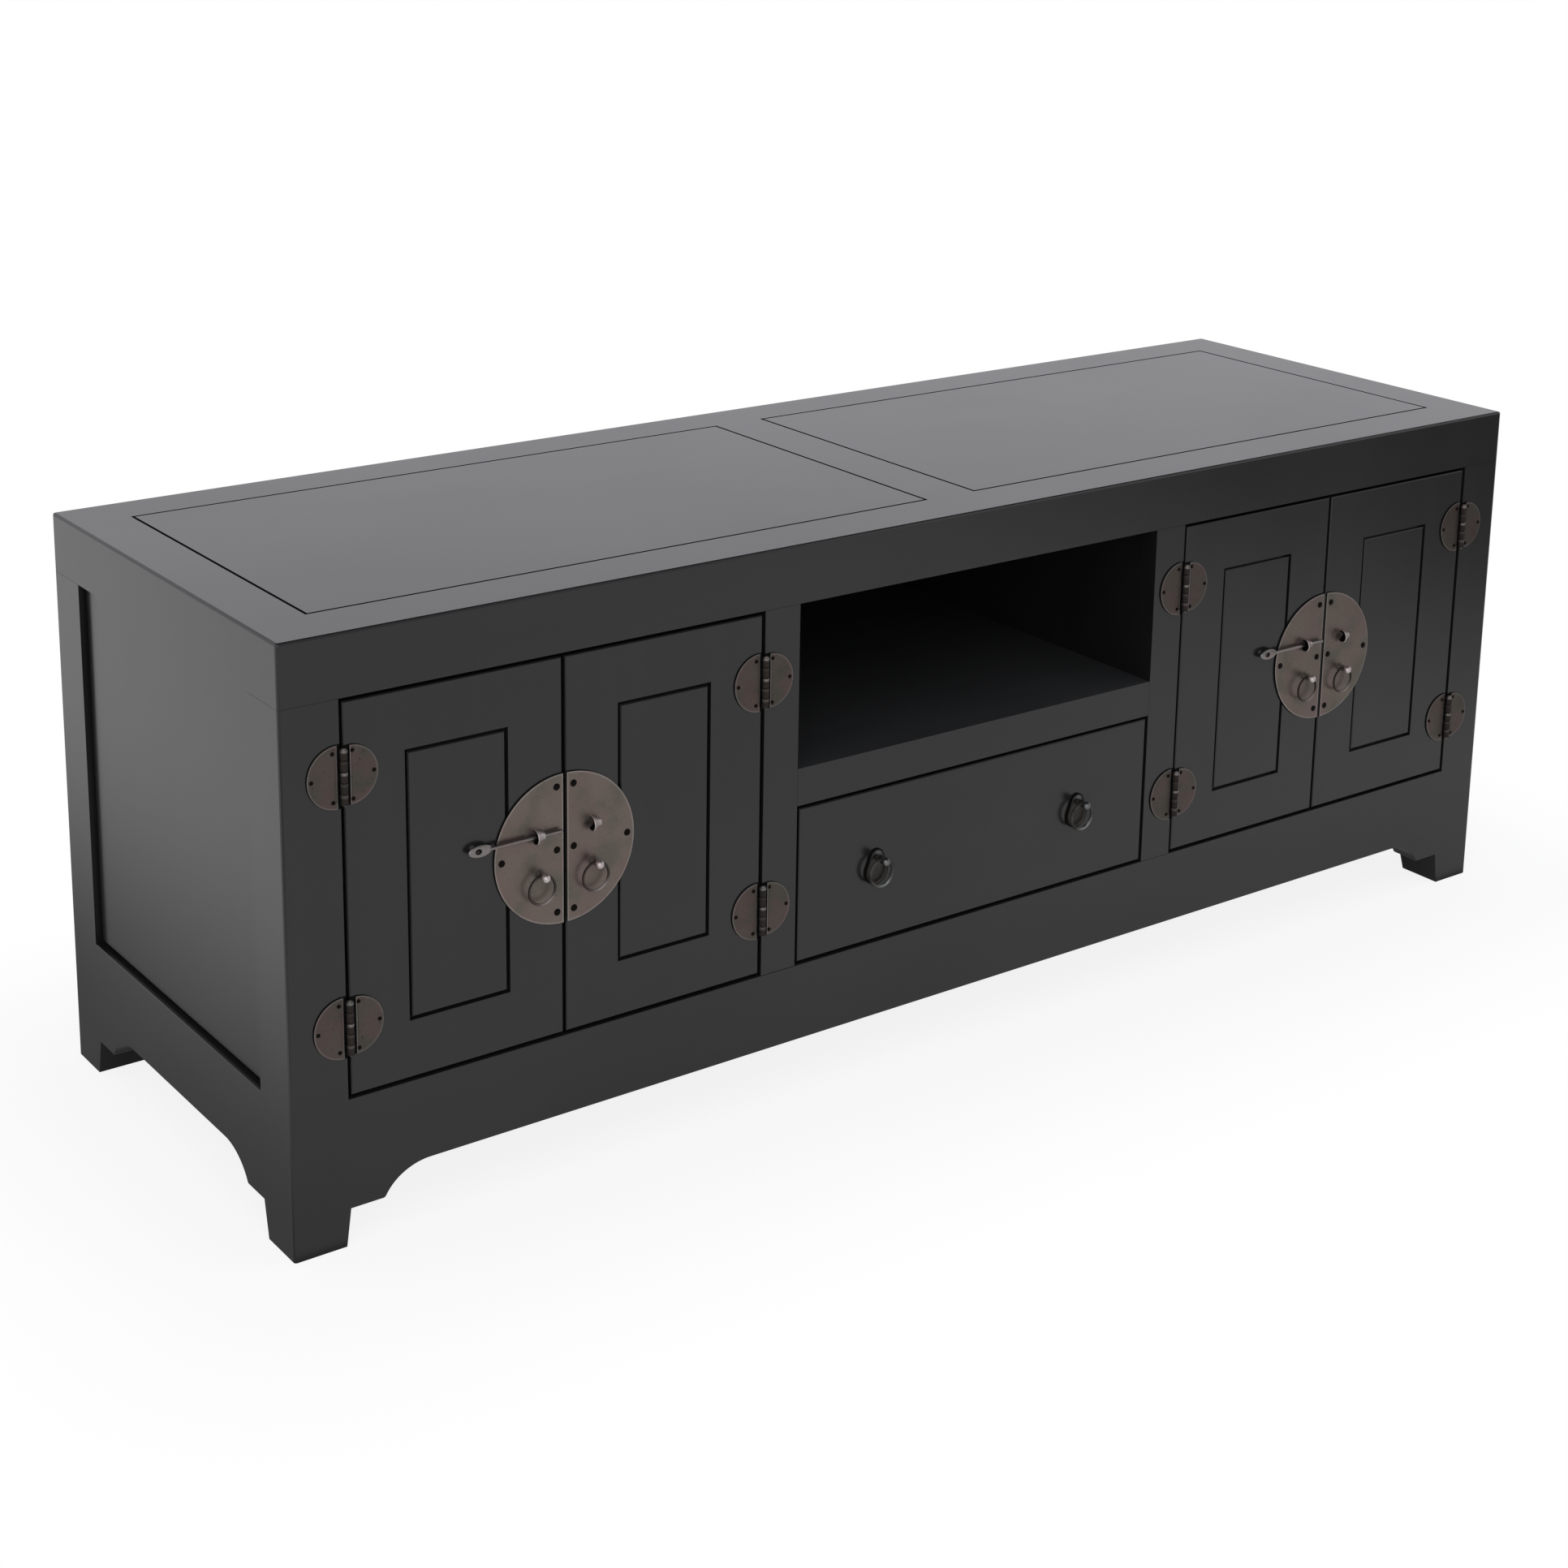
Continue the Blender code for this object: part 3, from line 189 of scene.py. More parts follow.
class StageSettings(bpy.types.PropertyGroup):
    """Floor, lights and camera of the plain studio."""

    floor: shade("Floor", "Colour of the pale floor", (0.90, 0.90, 0.90))
    surround: fraction("Surround", "Level of the light from all round", 0.70)
    ceiling: fraction("Ceiling", "Level of the ceiling in reflections", 0.05)
    horizon: fraction("Horizon", "Level of the backdrop near the floor in reflections", 0.90)
    room: fraction("Room", "Level of the room in front in reflections", 0.45)
    near_floor: fraction("Near floor", "Level of the floor in front in reflections", 0.70)
    far_floor: fraction("Far floor", "Level of the floor far to the right in reflections", 0.15)
    left_floor: fraction("Left floor", "Share of the floor's level at the left front in reflections", 0.25)
    foot_floor: fraction("Foot floor", "Share of the floor's level close to the front in reflections", 0.82)
    shaded_floor: fraction("Shaded floor", "Level of the floor close to the sides in reflections", 0.20)
    open_floor: fraction("Open floor", "Level of the floor farther from the sides in reflections", 1.00)
    contact: fraction("Contact shadow", "Share of the shadow that shows on the floor", 0.14)
    back_tint: shade("Backdrop tint", "Tint of the backdrop in reflections", (0.955, 0.955, 1.0))
    fill_power: watts("Fill lamp", "Power of the soft lamp at the left front", 39.0)
    key_power: watts("Key lamp", "Power of the soft lamp at the right front", 8.0)
    lens: FloatProperty(
        name="Lens", description="Focal length of the camera", default=62.26, subtype="DISTANCE_CAMERA",
    )
    shift: fraction("Lens shift", "Upward shift of the frame, as a share of its width", -0.22)
    eye: FloatVectorProperty(
        name="Camera place", description="Where the camera stands",
        default=(-1.4301, -1.8487, 1.0781), subtype="TRANSLATION", size=3, unit="LENGTH",
    )
    aim: FloatVectorProperty(
        name="Camera aim", description="Direction in which the camera looks",
        default=(0.5753, 0.7816, -0.2410), subtype="DIRECTION", size=3,
    )
    level: FloatVectorProperty(
        name="Camera level", description="Direction of the camera's right hand",
        default=(0.8075, -0.5897, 0.0150), subtype="DIRECTION", size=3,
    )


# Shells: points, quads between them, flat ends, and two values per point: dirt with painted shade, and
# rubbed wear with painted highlight

SHARP_ANGLE = math.radians(40.0)
# Width of the band of painted highlight inside a sheet's rim
RIM_BAND = 0.0010
# Painted shade on the wall and on the start of the rim, and a painted highlight on the rest of it, one for
# each rim station
RIM_SHADE = np.array((1.0, 1.0, 1.0, 1.0, 0.7, 0.1, 0.0, 0.0, 0.0))
RIM_HIGHLIGHT = np.array((0.0, 0.0, 0.0, 0.0, 0.1, 0.3, 0.3, 0.25, 0.0))


def pairs(first, second):
    """Two lists as rows of pairs."""
    return np.stack([first, second], axis=1)


def grid_quads(rows, columns, close_rows=False, close_columns=True):
    """Quads between neighbours of a grid counted row by row; a closed way wraps round to its start."""
    row = np.arange(rows if close_rows else rows - 1)[:, None]
    column = np.arange(columns if close_columns else columns - 1)[None, :]
    next_row = (row + 1) % rows
    next_column = (column + 1) % columns
    corners = (
        row * columns + column, row * columns + next_column,
        next_row * columns + next_column, next_row * columns + column,
    )
    return np.stack(np.broadcast_arrays(*corners), axis=-1).reshape(-1, 4)


def spread(value, shape):
    """A value for all points, one for each loop, or one for each point, as one list over all the points."""
    value = np.asarray(value, dtype=float)
    return np.broadcast_to(value if value.ndim == 2 else value.reshape(-1, 1), shape).reshape(-1)


def stacked(loops, grime_and_shade=0.0, polish_and_highlight=0.0):
    """Loops of points, anticlockwise as seen from the last one, joined in order and closed at both ends."""
    rows, columns, _ = loops.shape
    ends = [np.arange(columns)[::-1], np.arange(columns) + (rows - 1) * columns]
    values = pairs(spread(grime_and_shade, (rows, columns)), spread(polish_and_highlight, (rows, columns)))
    return loops.reshape(-1, 3), grid_quads(rows, columns), ends, values


def turned(profile, centre, across, up, steps=32, grime_and_shade=0.0, polish_and_highlight=0.0):
    """A profile of (along, radius) pairs turned about an axis.

    A point is centre + along * axis + radius * (cos t * across + sin t * up), with axis = across x up.
    """
    along, radius = np.asarray(profile, dtype=float).T
    turn = np.linspace(0.0, 2.0 * np.pi, steps, endpoint=False)
    spoke = np.cos(turn)[:, None] * across + np.sin(turn)[:, None] * up
    axis = np.cross(across, up)
    loops = centre + along[:, None, None] * axis + radius[:, None, None] * spoke[None, :, :]
    return stacked(loops, grime_and_shade, polish_and_highlight)


def hoop(centre, across, up, ring_radius, wire_radius, steps=96, wire_steps=18, grime_and_shade=0.0, polish_and_highlight=0.0):
    """A wire bent into a ring.

    A point is centre + (R + r * cos p) * (cos t * across + sin t * up) + r * sin p * axis.
    """
    turn = np.linspace(0.0, 2.0 * np.pi, steps, endpoint=False)[None, :, None]
    wrap = np.linspace(0.0, 2.0 * np.pi, wire_steps, endpoint=False)[:, None, None]
    spoke = np.cos(turn) * across + np.sin(turn) * up
    axis = np.cross(across, up)
    points = centre + (ring_radius + wire_radius * np.cos(wrap)) * spoke + wire_radius * np.sin(wrap) * axis
    values = pairs(spread(grime_and_shade, (wire_steps, steps)), spread(polish_and_highlight, (wire_steps, steps)))
    return points.reshape(-1, 3), grid_quads(wire_steps, steps, close_rows=True), [], values


def shaded_wire(wire_steps=18):
    """Painted shade on the sides and the back of a ring's wire, for hoop: most where the wire faces away
    from -Y.
    """
    wrap = np.linspace(0.0, 2.0 * np.pi, wire_steps, endpoint=False)
    return np.clip(1.9 - 1.3 * np.sin(wrap), 0.6, 0.95)[:, None]


def rubbed_and_highlit(steps=96):
    """How much a ring is made bright along its wire, for hoop, by rubbed wear and a painted highlight: most
    a little right of its lowest point.
    """
    turn = np.linspace(0.0, 2.0 * np.pi, steps, endpoint=False)
    return np.clip(np.cos(turn + np.radians(65.0)), 0.0, 1.0)[None, :] ** 4


def inset_loop(outline, inset):
    """A closed outline moved inwards: each corner goes along the bisector of its two edge normals."""
    edge = np.roll(outline, -1, axis=0) - outline
    edge = edge / np.linalg.norm(edge, axis=1)[:, None]
    normal = pairs(edge[:, 1], -edge[:, 0])
    before = np.roll(normal, 1, axis=0)
    bisector = (normal + before) / (1.0 + (normal * before).sum(axis=1))[:, None]
    return outline - inset * bisector


def sheet_of(outline, stations, centre, across, up, grime_and_shade=0.0, polish_and_highlight=0.0):
    """A flat outline carried through stations of (inset, along).

    A point is centre + u * across + v * up + along * (across x up), where (u, v) runs round the outline
    moved inwards by the station's inset.
    """
    axis = np.cross(across, up)
    inset, along = np.asarray(stations, dtype=float).T
    flat = np.stack([inset_loop(outline, value) for value in inset])
    loops = centre + flat[..., :1] * across + flat[..., 1:] * up + along[:, None, None] * axis
    return stacked(loops, grime_and_shade, polish_and_highlight)


def rim_stations(thickness, rounding):
    """Stations of a sheet: a flat back, a straight wall, a rim rounded by a quarter circle and a band."""
    turn = np.linspace(0.0, np.pi / 2.0, 5)
    rim = pairs(rounding * (1.0 - np.cos(turn)), thickness - rounding * (1.0 - np.sin(turn)))
    inner = rounding * 1.3
    face = ((inner, thickness), (inner + RIM_BAND, thickness))
    return np.concatenate([((rounding, 0.0), (0.0, 0.0)), rim, face])


def arc_points(centre, radii, start, end, steps):
    """Points on an ellipse: centre + (a * cos t, b * sin t) for t from start to end in degrees."""
    turn = np.radians(np.linspace(start, end, steps))
    return pairs(centre[0] + radii[0] * np.cos(turn), centre[1] + radii[1] * np.sin(turn))


def to_side(outline, side):
    """An outline as it is for side 1, and its mirror image, still anticlockwise, for side -1."""
    return outline if side > 0 else outline[::-1] * MIRROR


def half_moon(radius, side, steps=72):
    """A half disc with its straight edge at zero, which bulges to the right for side 1, anticlockwise."""
    return to_side(arc_points((0.0, 0.0), (radius, radius), -90.0, 90.0, steps), side)


def joined(shells):
    """Several shells as one: each one's point numbers move on by the count of the points before it."""
    counts = np.cumsum([0] + [len(shell[0]) for shell in shells])
    points = np.concatenate([shell[0] for shell in shells])
    quads = np.concatenate([shell[1] + start for shell, start in zip(shells, counts)])
    ends = [end + start for shell, start in zip(shells, counts) for end in shell[2]]
    values = np.concatenate([shell[3] for shell in shells])
    return points, quads, ends, values


def make_piece(name, shells, finish, body, stands_for=()):
    """A mesh object of the shells, smooth but for its sharp corners, that rides on a body of the frame."""
    points, quads, ends, values = joined(shells)
    if not np.isfinite(points).all():
        raise RuntimeError(f"{name} has points that are not numbers")
    mesh = bpy.data.meshes.new(name)
    mesh.from_pydata(points.tolist(), [], quads.tolist() + [end.tolist() for end in ends])
    for column, word in enumerate(("grime_and_shade", "polish_and_highlight")):
        mesh.attributes.new(word, "FLOAT", "POINT").data.foreach_set("value", values[:, column].copy())
    mesh.shade_smooth()
    mesh.set_sharp_from_angle(angle=SHARP_ANGLE)
    mesh.materials.append(bpy.data.materials[finish])
    piece = bpy.data.objects.new(name, mesh)
    bpy.context.scene.collection.objects.link(piece)
    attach(piece, body)
    if stands_for:
        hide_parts(*stands_for)


def place_of(node):
    """A node's lowest and highest corner and its middle."""
    low, high = (np.array(corner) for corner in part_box(node))
    return low, high, (low + high) / 2.0


def joint_place(name):
    """A point on a joint's axis."""
    return np.array(JOINTS[name]["pos_m"], dtype=float)


def side_of(door):
    """1 where a door lies to the right of its pair's meeting line, and -1 where it lies to the left."""
    return 1 if door in ("left_inner", "right_outer") else -1


# Materials

# Scales of the grain's place: small along the way that the streaks run
GRAINS = {"upright": (1.0, 1.0, 0.05), "level": (0.05, 1.0, 1.0), "deep": (1.0, 0.05, 1.0)}
# Roughness and specular level of the lacquers, and strength and height of their skin
OUTSIDE_GLOSS = (0.22, 0.5)
INSIDE_GLOSS = (0.55, 0.3)
LACQUER_SKIN = (0.02, 0.0003)
METAL_SKIN = 0.0006
METAL_GLOSS = 0.05
# How much brighter a rubbed metal, and a painted highlight on it, is than its main tone
RUBBED_AND_HIGHLIGHT_GAIN = (3.2, 3.6, 3.95, 1.0)
# Name; main, warm and cool tone; scale of the blooms, roughness and strength of the bump
METALS = (
    ("antique brass", ("plate", "plate_warm", "plate_cool"), 34.0, 0.42, 0.35),
    ("dark bronze", ("hinge", "hinge_warm", "hinge_cool"), 46.0, 0.42, 0.35),
    ("dark iron", ("iron", "iron_warm", "iron"), 90.0, 0.34, 0.30),
    ("rubbed iron", ("ring_iron", "ring_iron", "iron_warm"), 90.0, 0.34, 0.30),
    ("worn steel", ("steel", "steel_warm", "steel"), 90.0, 0.34, 0.25),
    ("nail black", ("nail", "nail", "nail"), 300.0, 0.55, 0.30),
)


def put(tree, kind, inputs=None, **settings):
    """Add a node; a socket among the inputs is linked, and any other value is set."""
    made = tree.nodes.new(kind)
    for key, value in settings.items():
        setattr(made, key, value)
    for key, value in (inputs or {}).items():
        if isinstance(value, bpy.types.NodeSocket):
            tree.links.new(value, made.inputs[key])
        else:
            made.inputs[key].default_value = value
    return made


def blend_colours(tree, factor, first, second, way="MIX"):
    """The colour that goes from first to second with the factor."""
    made = put(
        tree, "ShaderNodeMix", {0: factor, 6: first, 7: second}, data_type="RGBA", blend_type=way,
    )
    return made.outputs[2]


def stretch(tree, value, low, high, to_low=0.0, to_high=1.0):
    """A value spread smoothly from one range to another and held at its ends."""
    made = put(
        tree, "ShaderNodeMapRange",
        {"Value": value, "From Min": low, "From Max": high, "To Min": to_low, "To Max": to_high},
        interpolation_type="SMOOTHSTEP",
    )
    return made.outputs["Result"]


def combine(tree, operation, first, *others):
    """Values joined in order by one kind of arithmetic."""
    for other in others:
        first = put(tree, "ShaderNodeMath", {0: first, 1: other}, operation=operation).outputs[0]
    return first


def vector_step(tree, operation, first, second=(0.0, 0.0, 0.0)):
    """The outputs of one step of arithmetic on vectors."""
    return put(tree, "ShaderNodeVectorMath", {0: first, 1: second}, operation=operation).outputs


def cloud(tree, place, scale, detail=3.0, roughness=0.5):
    """Soft noise of a given scale."""
    made = put(
        tree, "ShaderNodeTexNoise",
        {"Vector": place, "Scale": scale, "Detail": detail, "Roughness": roughness},
    )
    return made.outputs["Fac"]


def new_group(name, vectors, colours, numbers, results):
    """An empty shader node group with named sockets, and the sockets of its input and output nodes."""
    group = bpy.data.node_groups.new(name, "ShaderNodeTree")
    for kind, words in (("Vector", vectors), ("Color", colours), ("Float", numbers)):
        for word in words:
            group.interface.new_socket(name=word, in_out="INPUT", socket_type=f"NodeSocket{kind}")
    group.interface.new_socket(name="Colour", in_out="OUTPUT", socket_type="NodeSocketColor")
    for word in results:
        group.interface.new_socket(name=word, in_out="OUTPUT", socket_type="NodeSocketFloat")
    return group, group.nodes.new("NodeGroupInput").outputs, group.nodes.new("NodeGroupOutput").inputs


def build_lacquer_group():
    """Satin lacquer: cloudy tone, faint streaks along the grain, rare dust and a sprayed coat's skin."""
    group, given, result = new_group(
        "satin lacquer", ("Place", "Grain Place"), ("Deep", "Pale", "Dust"), ("Sheen",),
        ("Roughness", "Height"),
    )
    clouds = cloud(group, given["Place"], 4.0, 3.0, 0.5)
    streaks = cloud(group, given["Grain Place"], 55.0, 4.0, 0.55)
    skin = cloud(group, given["Place"], 260.0, 1.5, 0.4)
    specks = cloud(group, given["Place"], 1300.0, 1.0, 0.4)
    cloudy = stretch(group, clouds, 0.3, 0.7, 0.0, 0.75)
    rubbed = combine(group, "ADD", cloudy, stretch(group, streaks, 0.4, 0.75, 0.0, 0.25))
    dust = stretch(group, specks, 0.74, 0.82, 0.0, 0.25)
    colour = blend_colours(group, rubbed, given["Deep"], given["Pale"])
    group.links.new(blend_colours(group, dust, colour, given["Dust"]), result["Colour"])
    wavering = stretch(group, clouds, 0.3, 0.7, -0.015, 0.015)
    brushed = stretch(group, streaks, 0.35, 0.7, -0.003, 0.004)
    group.links.new(combine(group, "ADD", given["Sheen"], wavering, brushed), result["Roughness"])
    grain = combine(group, "MULTIPLY", streaks, 0.15)
    group.links.new(combine(group, "ADD", combine(group, "MULTIPLY", skin, 0.85), grain), result["Height"])


def build_metal_group():
    """Aged metal: soft blooms of two tones, dark specks, fine scratches, sooty painted shade on walls and
    hollows, and rubbed rims with painted highlights.
    """
    group, given, result = new_group(
        "aged metal", ("Place",), ("Main", "Warm", "Cool", "Soot And Shade"),
        ("Bloom Scale", "Grime And Shade", "Polish And Highlight", "Sheen"), ("Roughness", "Height", "Bare Metal"),
    )
    place = given["Place"]
    blush = cloud(group, place, given["Bloom Scale"], 2.0, 0.45)
    moved = put(group, "ShaderNodeMapping", {"Vector": place, "Location": (3.1, 1.7, 5.3)}).outputs[0]
    green = cloud(group, moved, given["Bloom Scale"], 3.0, 0.5)
    specks = cloud(group, place, 620.0, 3.0, 0.6)
    drawn_out = put(
        group, "ShaderNodeMapping",
        {"Vector": place, "Rotation": (0.0, 0.6, 0.0), "Scale": (40.0, 40.0, 900.0)},
    ).outputs[0]
    scratches = cloud(group, drawn_out, 1.0, 2.0, 0.6)
    colour = blend_colours(group, stretch(group, blush, 0.42, 0.62), given["Main"], given["Warm"])
    colour = blend_colours(group, stretch(group, green, 0.47, 0.66), colour, given["Cool"])
    pits = stretch(group, specks, 0.62, 0.72, 0.0, 0.45)
    colour = blend_colours(group, pits, colour, given["Soot And Shade"])
    # Rubbed wear and painted highlights brighten the colour where points are marked for it
    bright = blend_colours(group, 1.0, colour, RUBBED_AND_HIGHLIGHT_GAIN, "MULTIPLY")
    colour = blend_colours(group, given["Polish And Highlight"], colour, bright)
    # Painted shade, with some dirt, darkens the colour where points are marked for it
    colour = blend_colours(group, given["Grime And Shade"], colour, given["Soot And Shade"])
    group.links.new(colour, result["Colour"])
    wavering = stretch(group, green, 0.3, 0.7, -0.06, 0.08)
    dulled = combine(group, "MULTIPLY", combine(group, "ADD", given["Grime And Shade"], pits), 0.35)
    group.links.new(combine(group, "ADD", given["Sheen"], wavering, dulled), result["Roughness"])
    swells = combine(group, "MULTIPLY", blush, 0.5)
    height = combine(group, "ADD", swells, combine(group, "MULTIPLY", scratches, 0.12))
    height = combine(group, "SUBTRACT", height, combine(group, "MULTIPLY", pits, 0.25))
    group.links.new(height, result["Height"])
    # The metal is less metallic under painted shade and dirt
    group.links.new(combine(group, "SUBTRACT", 1.0, given["Grime And Shade"]), result["Bare Metal"])


def new_material(name):
    """A material with a Principled shader, and its tree and shader."""
    material = bpy.data.materials.new(name)
    material.use_nodes = True
    return material.node_tree, material.node_tree.nodes["Principled BSDF"]


def add_group(tree, name, sockets, colours):
    """A node of a group with its sockets linked or set and its colours set, as its outputs."""
    inputs = {**sockets, **{word: (*colour, 1.0) for word, colour in colours.items()}}
    return put(tree, "ShaderNodeGroup", inputs, node_tree=bpy.data.node_groups[name]).outputs


def feed(tree, shader, skin, strength, distance):
    """Lead a group's colour, roughness and height to a shader, the height by way of a bump."""
    heights = {"Height": skin["Height"], "Strength": strength, "Distance": distance}
    bump = put(tree, "ShaderNodeBump", heights)
    tree.links.new(skin["Colour"], shader.inputs["Base Color"])
    tree.links.new(skin["Roughness"], shader.inputs["Roughness"])
    tree.links.new(bump.outputs["Normal"], shader.inputs["Normal"])


def lacquer(name, deep, pale, dust, grain, sheen, gloss):
    """A lacquer material whose streaks run along one axis, given as the scales of the grain's place."""
    tree, shader = new_material(name)
    place = put(tree, "ShaderNodeTexCoord").outputs["Object"]
    grain_place = put(tree, "ShaderNodeMapping", {"Vector": place, "Scale": grain}).outputs[0]
    skin = add_group(
        tree, "satin lacquer", {"Place": place, "Grain Place": grain_place, "Sheen": sheen},
        {"Deep": deep, "Pale": pale, "Dust": dust},
    )
    feed(tree, shader, skin, *LACQUER_SKIN)
    shader.inputs["Specular IOR Level"].default_value = gloss


def metal(name, main, warm, cool, soot_and_shade, bloom_scale, sheen, strength):
    """A metal material with blooms, painted shade with some dirt where points are marked for it, and painted
    highlights with rubbed wear on marked rims.
    """
    tree, shader = new_material(name)
    place = put(tree, "ShaderNodeTexCoord").outputs["Object"]
    grime_and_shade = put(tree, "ShaderNodeAttribute", attribute_name="grime_and_shade").outputs["Fac"]
    polish_and_highlight = put(tree, "ShaderNodeAttribute", attribute_name="polish_and_highlight").outputs["Fac"]
    age = add_group(
        tree, "aged metal",
        {"Place": place, "Grime And Shade": grime_and_shade, "Polish And Highlight": polish_and_highlight, "Bloom Scale": bloom_scale, "Sheen": sheen},
        {"Main": main, "Warm": warm, "Cool": cool, "Soot And Shade": soot_and_shade},
    )
    feed(tree, shader, age, strength, METAL_SKIN)
    tree.links.new(age["Bare Metal"], shader.inputs["Metallic"])
    shader.inputs["Specular IOR Level"].default_value = METAL_GLOSS


class CABINET_OT_mix_finishes(bpy.types.Operator):
    """Build the lacquers and the metals"""

    bl_idname = "cabinet.mix_finishes"
    bl_label = "Mix finishes"

    def execute(self, context):
        build_lacquer_group()
        build_metal_group()
        wood = context.scene.cabinet_lacquer
        for word, grain in GRAINS.items():
            lacquer(f"black lacquer {word}", wood.deep, wood.pale, wood.dust, grain, *OUTSIDE_GLOSS)
        inside = (wood.inside_deep, wood.inside_pale, wood.dust)
        lacquer("inside stain", *inside, GRAINS["level"], *INSIDE_GLOSS)
        tones = context.scene.cabinet_metal
        for name, words, bloom_scale, sheen, strength in METALS:
            main, warm, cool = (getattr(tones, word) for word in words)
            metal(name, main, warm, cool, tones.soot_and_shade, bloom_scale, sheen, strength)
        return {"FINISHED"}


# Boards

BOARD_FINISHES = {
    "black lacquer upright": (
        "post_front_left", "post_front_right", "post_back_left", "post_back_right",
        "front_stile_left", "front_stile_right", "partition_left", "partition_right",
        *(f"door_frame_{door}" for door in DOORS), *(f"door_panel_{door}" for door in DOORS),
    ),
    "black lacquer level": (
        "top_frame", "top_panel_left", "top_panel_right", "drawer_front", "back_rail", "niche_shelf",
    ),
    "inside stain": ("bottom_board", "back_panel", "drawer_box"),
}
FACES_UP = 0.9


class CABINET_OT_finish_boards(bpy.types.Operator):
    """Lacquer the boards that keep the shapes of the frame, and stain the niche's floor"""

    bl_idname = "cabinet.finish_boards"
    bl_label = "Finish boards"

    def execute(self, context):
        for finish, nodes in BOARD_FINISHES.items():
            for node in nodes:
                mesh = frame["nodes"][node].data
                mesh.materials.clear()
                mesh.materials.append(bpy.data.materials[finish])
        shelf = frame["nodes"]["niche_shelf"].data
        shelf.materials.append(bpy.data.materials["inside stain"])
        normals = np.empty(len(shelf.polygons) * 3)
        shelf.polygons.foreach_get("normal", normals)
        shelf.polygons.foreach_set("material_index", (normals[2::3] > FACES_UP).astype(np.int32))
        shelf.update()
        return {"FINISHED"}


def apron_outline(start, end, top, lap, wood):
    """Half of a rail and its mirror image.

    The half goes down the rail's end, along the ledge, round the nose and up the cove, which is part of an
    ellipse that leaves the nose at a slope and ends level at the arch.
    """
    nose = start + wood.ledge_length
    nose_centre = (nose - wood.nose_rounding, wood.ledge_height + wood.nose_rounding)
    corner = np.array(((start - lap, top), (start - lap, wood.ledge_height)))
    nose_end = math.degrees(wood.cove_slope) - 90.0
    round_nose = arc_points(nose_centre, (wood.nose_rounding,) * 2, -90.0, nose_end, 8)
    run = nose + wood.cove_length - round_nose[-1, 0]
    rise = wood.arch_height - round_nose[-1, 1]
    lean = math.asin(1.0 / (math.tan(wood.cove_slope) * run / rise - 1.0))
    upright = rise / (1.0 - math.sin(lean))
    cove_centre = (nose + wood.cove_length, wood.arch_height - upright)
    cove_radii = (run / math.cos(lean), upright)
    cove = arc_points(cove_centre, cove_radii, 180.0 - math.degrees(lean), 90.0, 28)[1:]
    half = np.concatenate([corner, round_nose, cove])
    return np.concatenate([half, half[::-1] * MIRROR + np.array((start + end, 0.0))])


class CABINET_OT_make_aprons(bpy.types.Operator):
    """Make the front and side aprons with smooth coves and softened edges"""

    bl_idname = "cabinet.make_aprons"
    bl_label = "Make aprons"

    def execute(self, context):
        wood = context.scene.cabinet_lacquer
        lap = wood.edge_rounding
        left = place_of("post_front_left")
        right = place_of("post_front_right")
        rear = place_of("post_back_left")
        low, high, _ = place_of("front_apron")
        stations = rim_stations(high[1] - low[1], wood.edge_rounding)
        outline = apron_outline(left[1][0], right[0][0], high[2], lap, wood)
        shell = sheet_of(outline, stations, high[1] * BACK, RIGHT, UP)
        make_piece(
            "apron_front", [shell], "black lacquer level", "carcass", ["front_apron"],
        )
        for word, side in SIDES.items():
            low, high, _ = place_of(f"side_apron_{word}")
            start, end = sorted((side * left[1][1], side * rear[0][1]))
            outline = apron_outline(start, end, high[2], lap, wood)
            inner = high[0] if side < 0 else low[0]
            shell = sheet_of(outline, stations, inner * RIGHT, side * BACK, UP)
            make_piece(
                f"apron_{word}", [shell], "black lacquer deep", "carcass",
                [f"side_apron_{word}"],
            )
        return {"FINISHED"}


def rectangle(start, end):
    """The corners of a rectangle from its lowest and its highest corner, anticlockwise."""
    return np.array(((start[0], start[1]), (end[0], start[1]), (end[0], end[1]), (start[0], end[1])))


class CABINET_OT_make_side_panels(bpy.types.Operator):
    """Make the recessed side panels, each with a raised field that fills its opening"""

    bl_idname = "cabinet.make_side_panels"
    bl_label = "Make side panels"

    def execute(self, context):
        wood = context.scene.cabinet_lacquer
        gap = wood.field_gap
        top = place_of("top_frame")[0][2]
        for word, side in SIDES.items():
            low, high, _ = place_of(f"side_panel_{word}")
            thick = high[0] - low[0]
            inner = high[0] if side < 0 else low[0]
            front = place_of(f"post_front_{word}")[1][1]
            rear = place_of(f"post_back_{word}")[0][1]
            sill = place_of(f"side_apron_{word}")[1][2]
            field = rectangle((front + gap, sill + gap), (rear - gap, top - gap / 3.0))
            board = rectangle(low[1:], high[1:])
            levels = ((board, 0.0, thick), (field, thick / 2.0, thick + wood.field_rise))
            shells = [
                sheet_of(to_side(corners, side), ((0.0, near), (0.0, far)), inner * RIGHT, side * BACK, UP)
                for corners, near, far in levels
            ]
            make_piece(
                f"panel_side_{word}", shells, "black lacquer upright", "carcass",
                [f"side_panel_{word}"],
            )
        return {"FINISHED"}


# Metalwork of the doors

# Radius of the painted shadow round an ear's mouth and a post's foot, and the height of the thin cap that
# carries it
EAR_SHADE = 0.0075
EAR_SHADE_STEP = 0.0010
POST_SHADE = 0.0060
POOL_LIFT = 0.00003
POOL_RISE = 0.00009
POST_SHEET = 0.0008
POST_STEM = 0.0014
POST_FLARE = 0.0018
POST_LAP = 0.0009
# (Along, radius) of the collar under a post's ball
POST_COLLAR = ((-0.0005, 0.0010), (-0.0004, 0.0019), (0.0001, 0.0022), (0.0005, 0.0019))
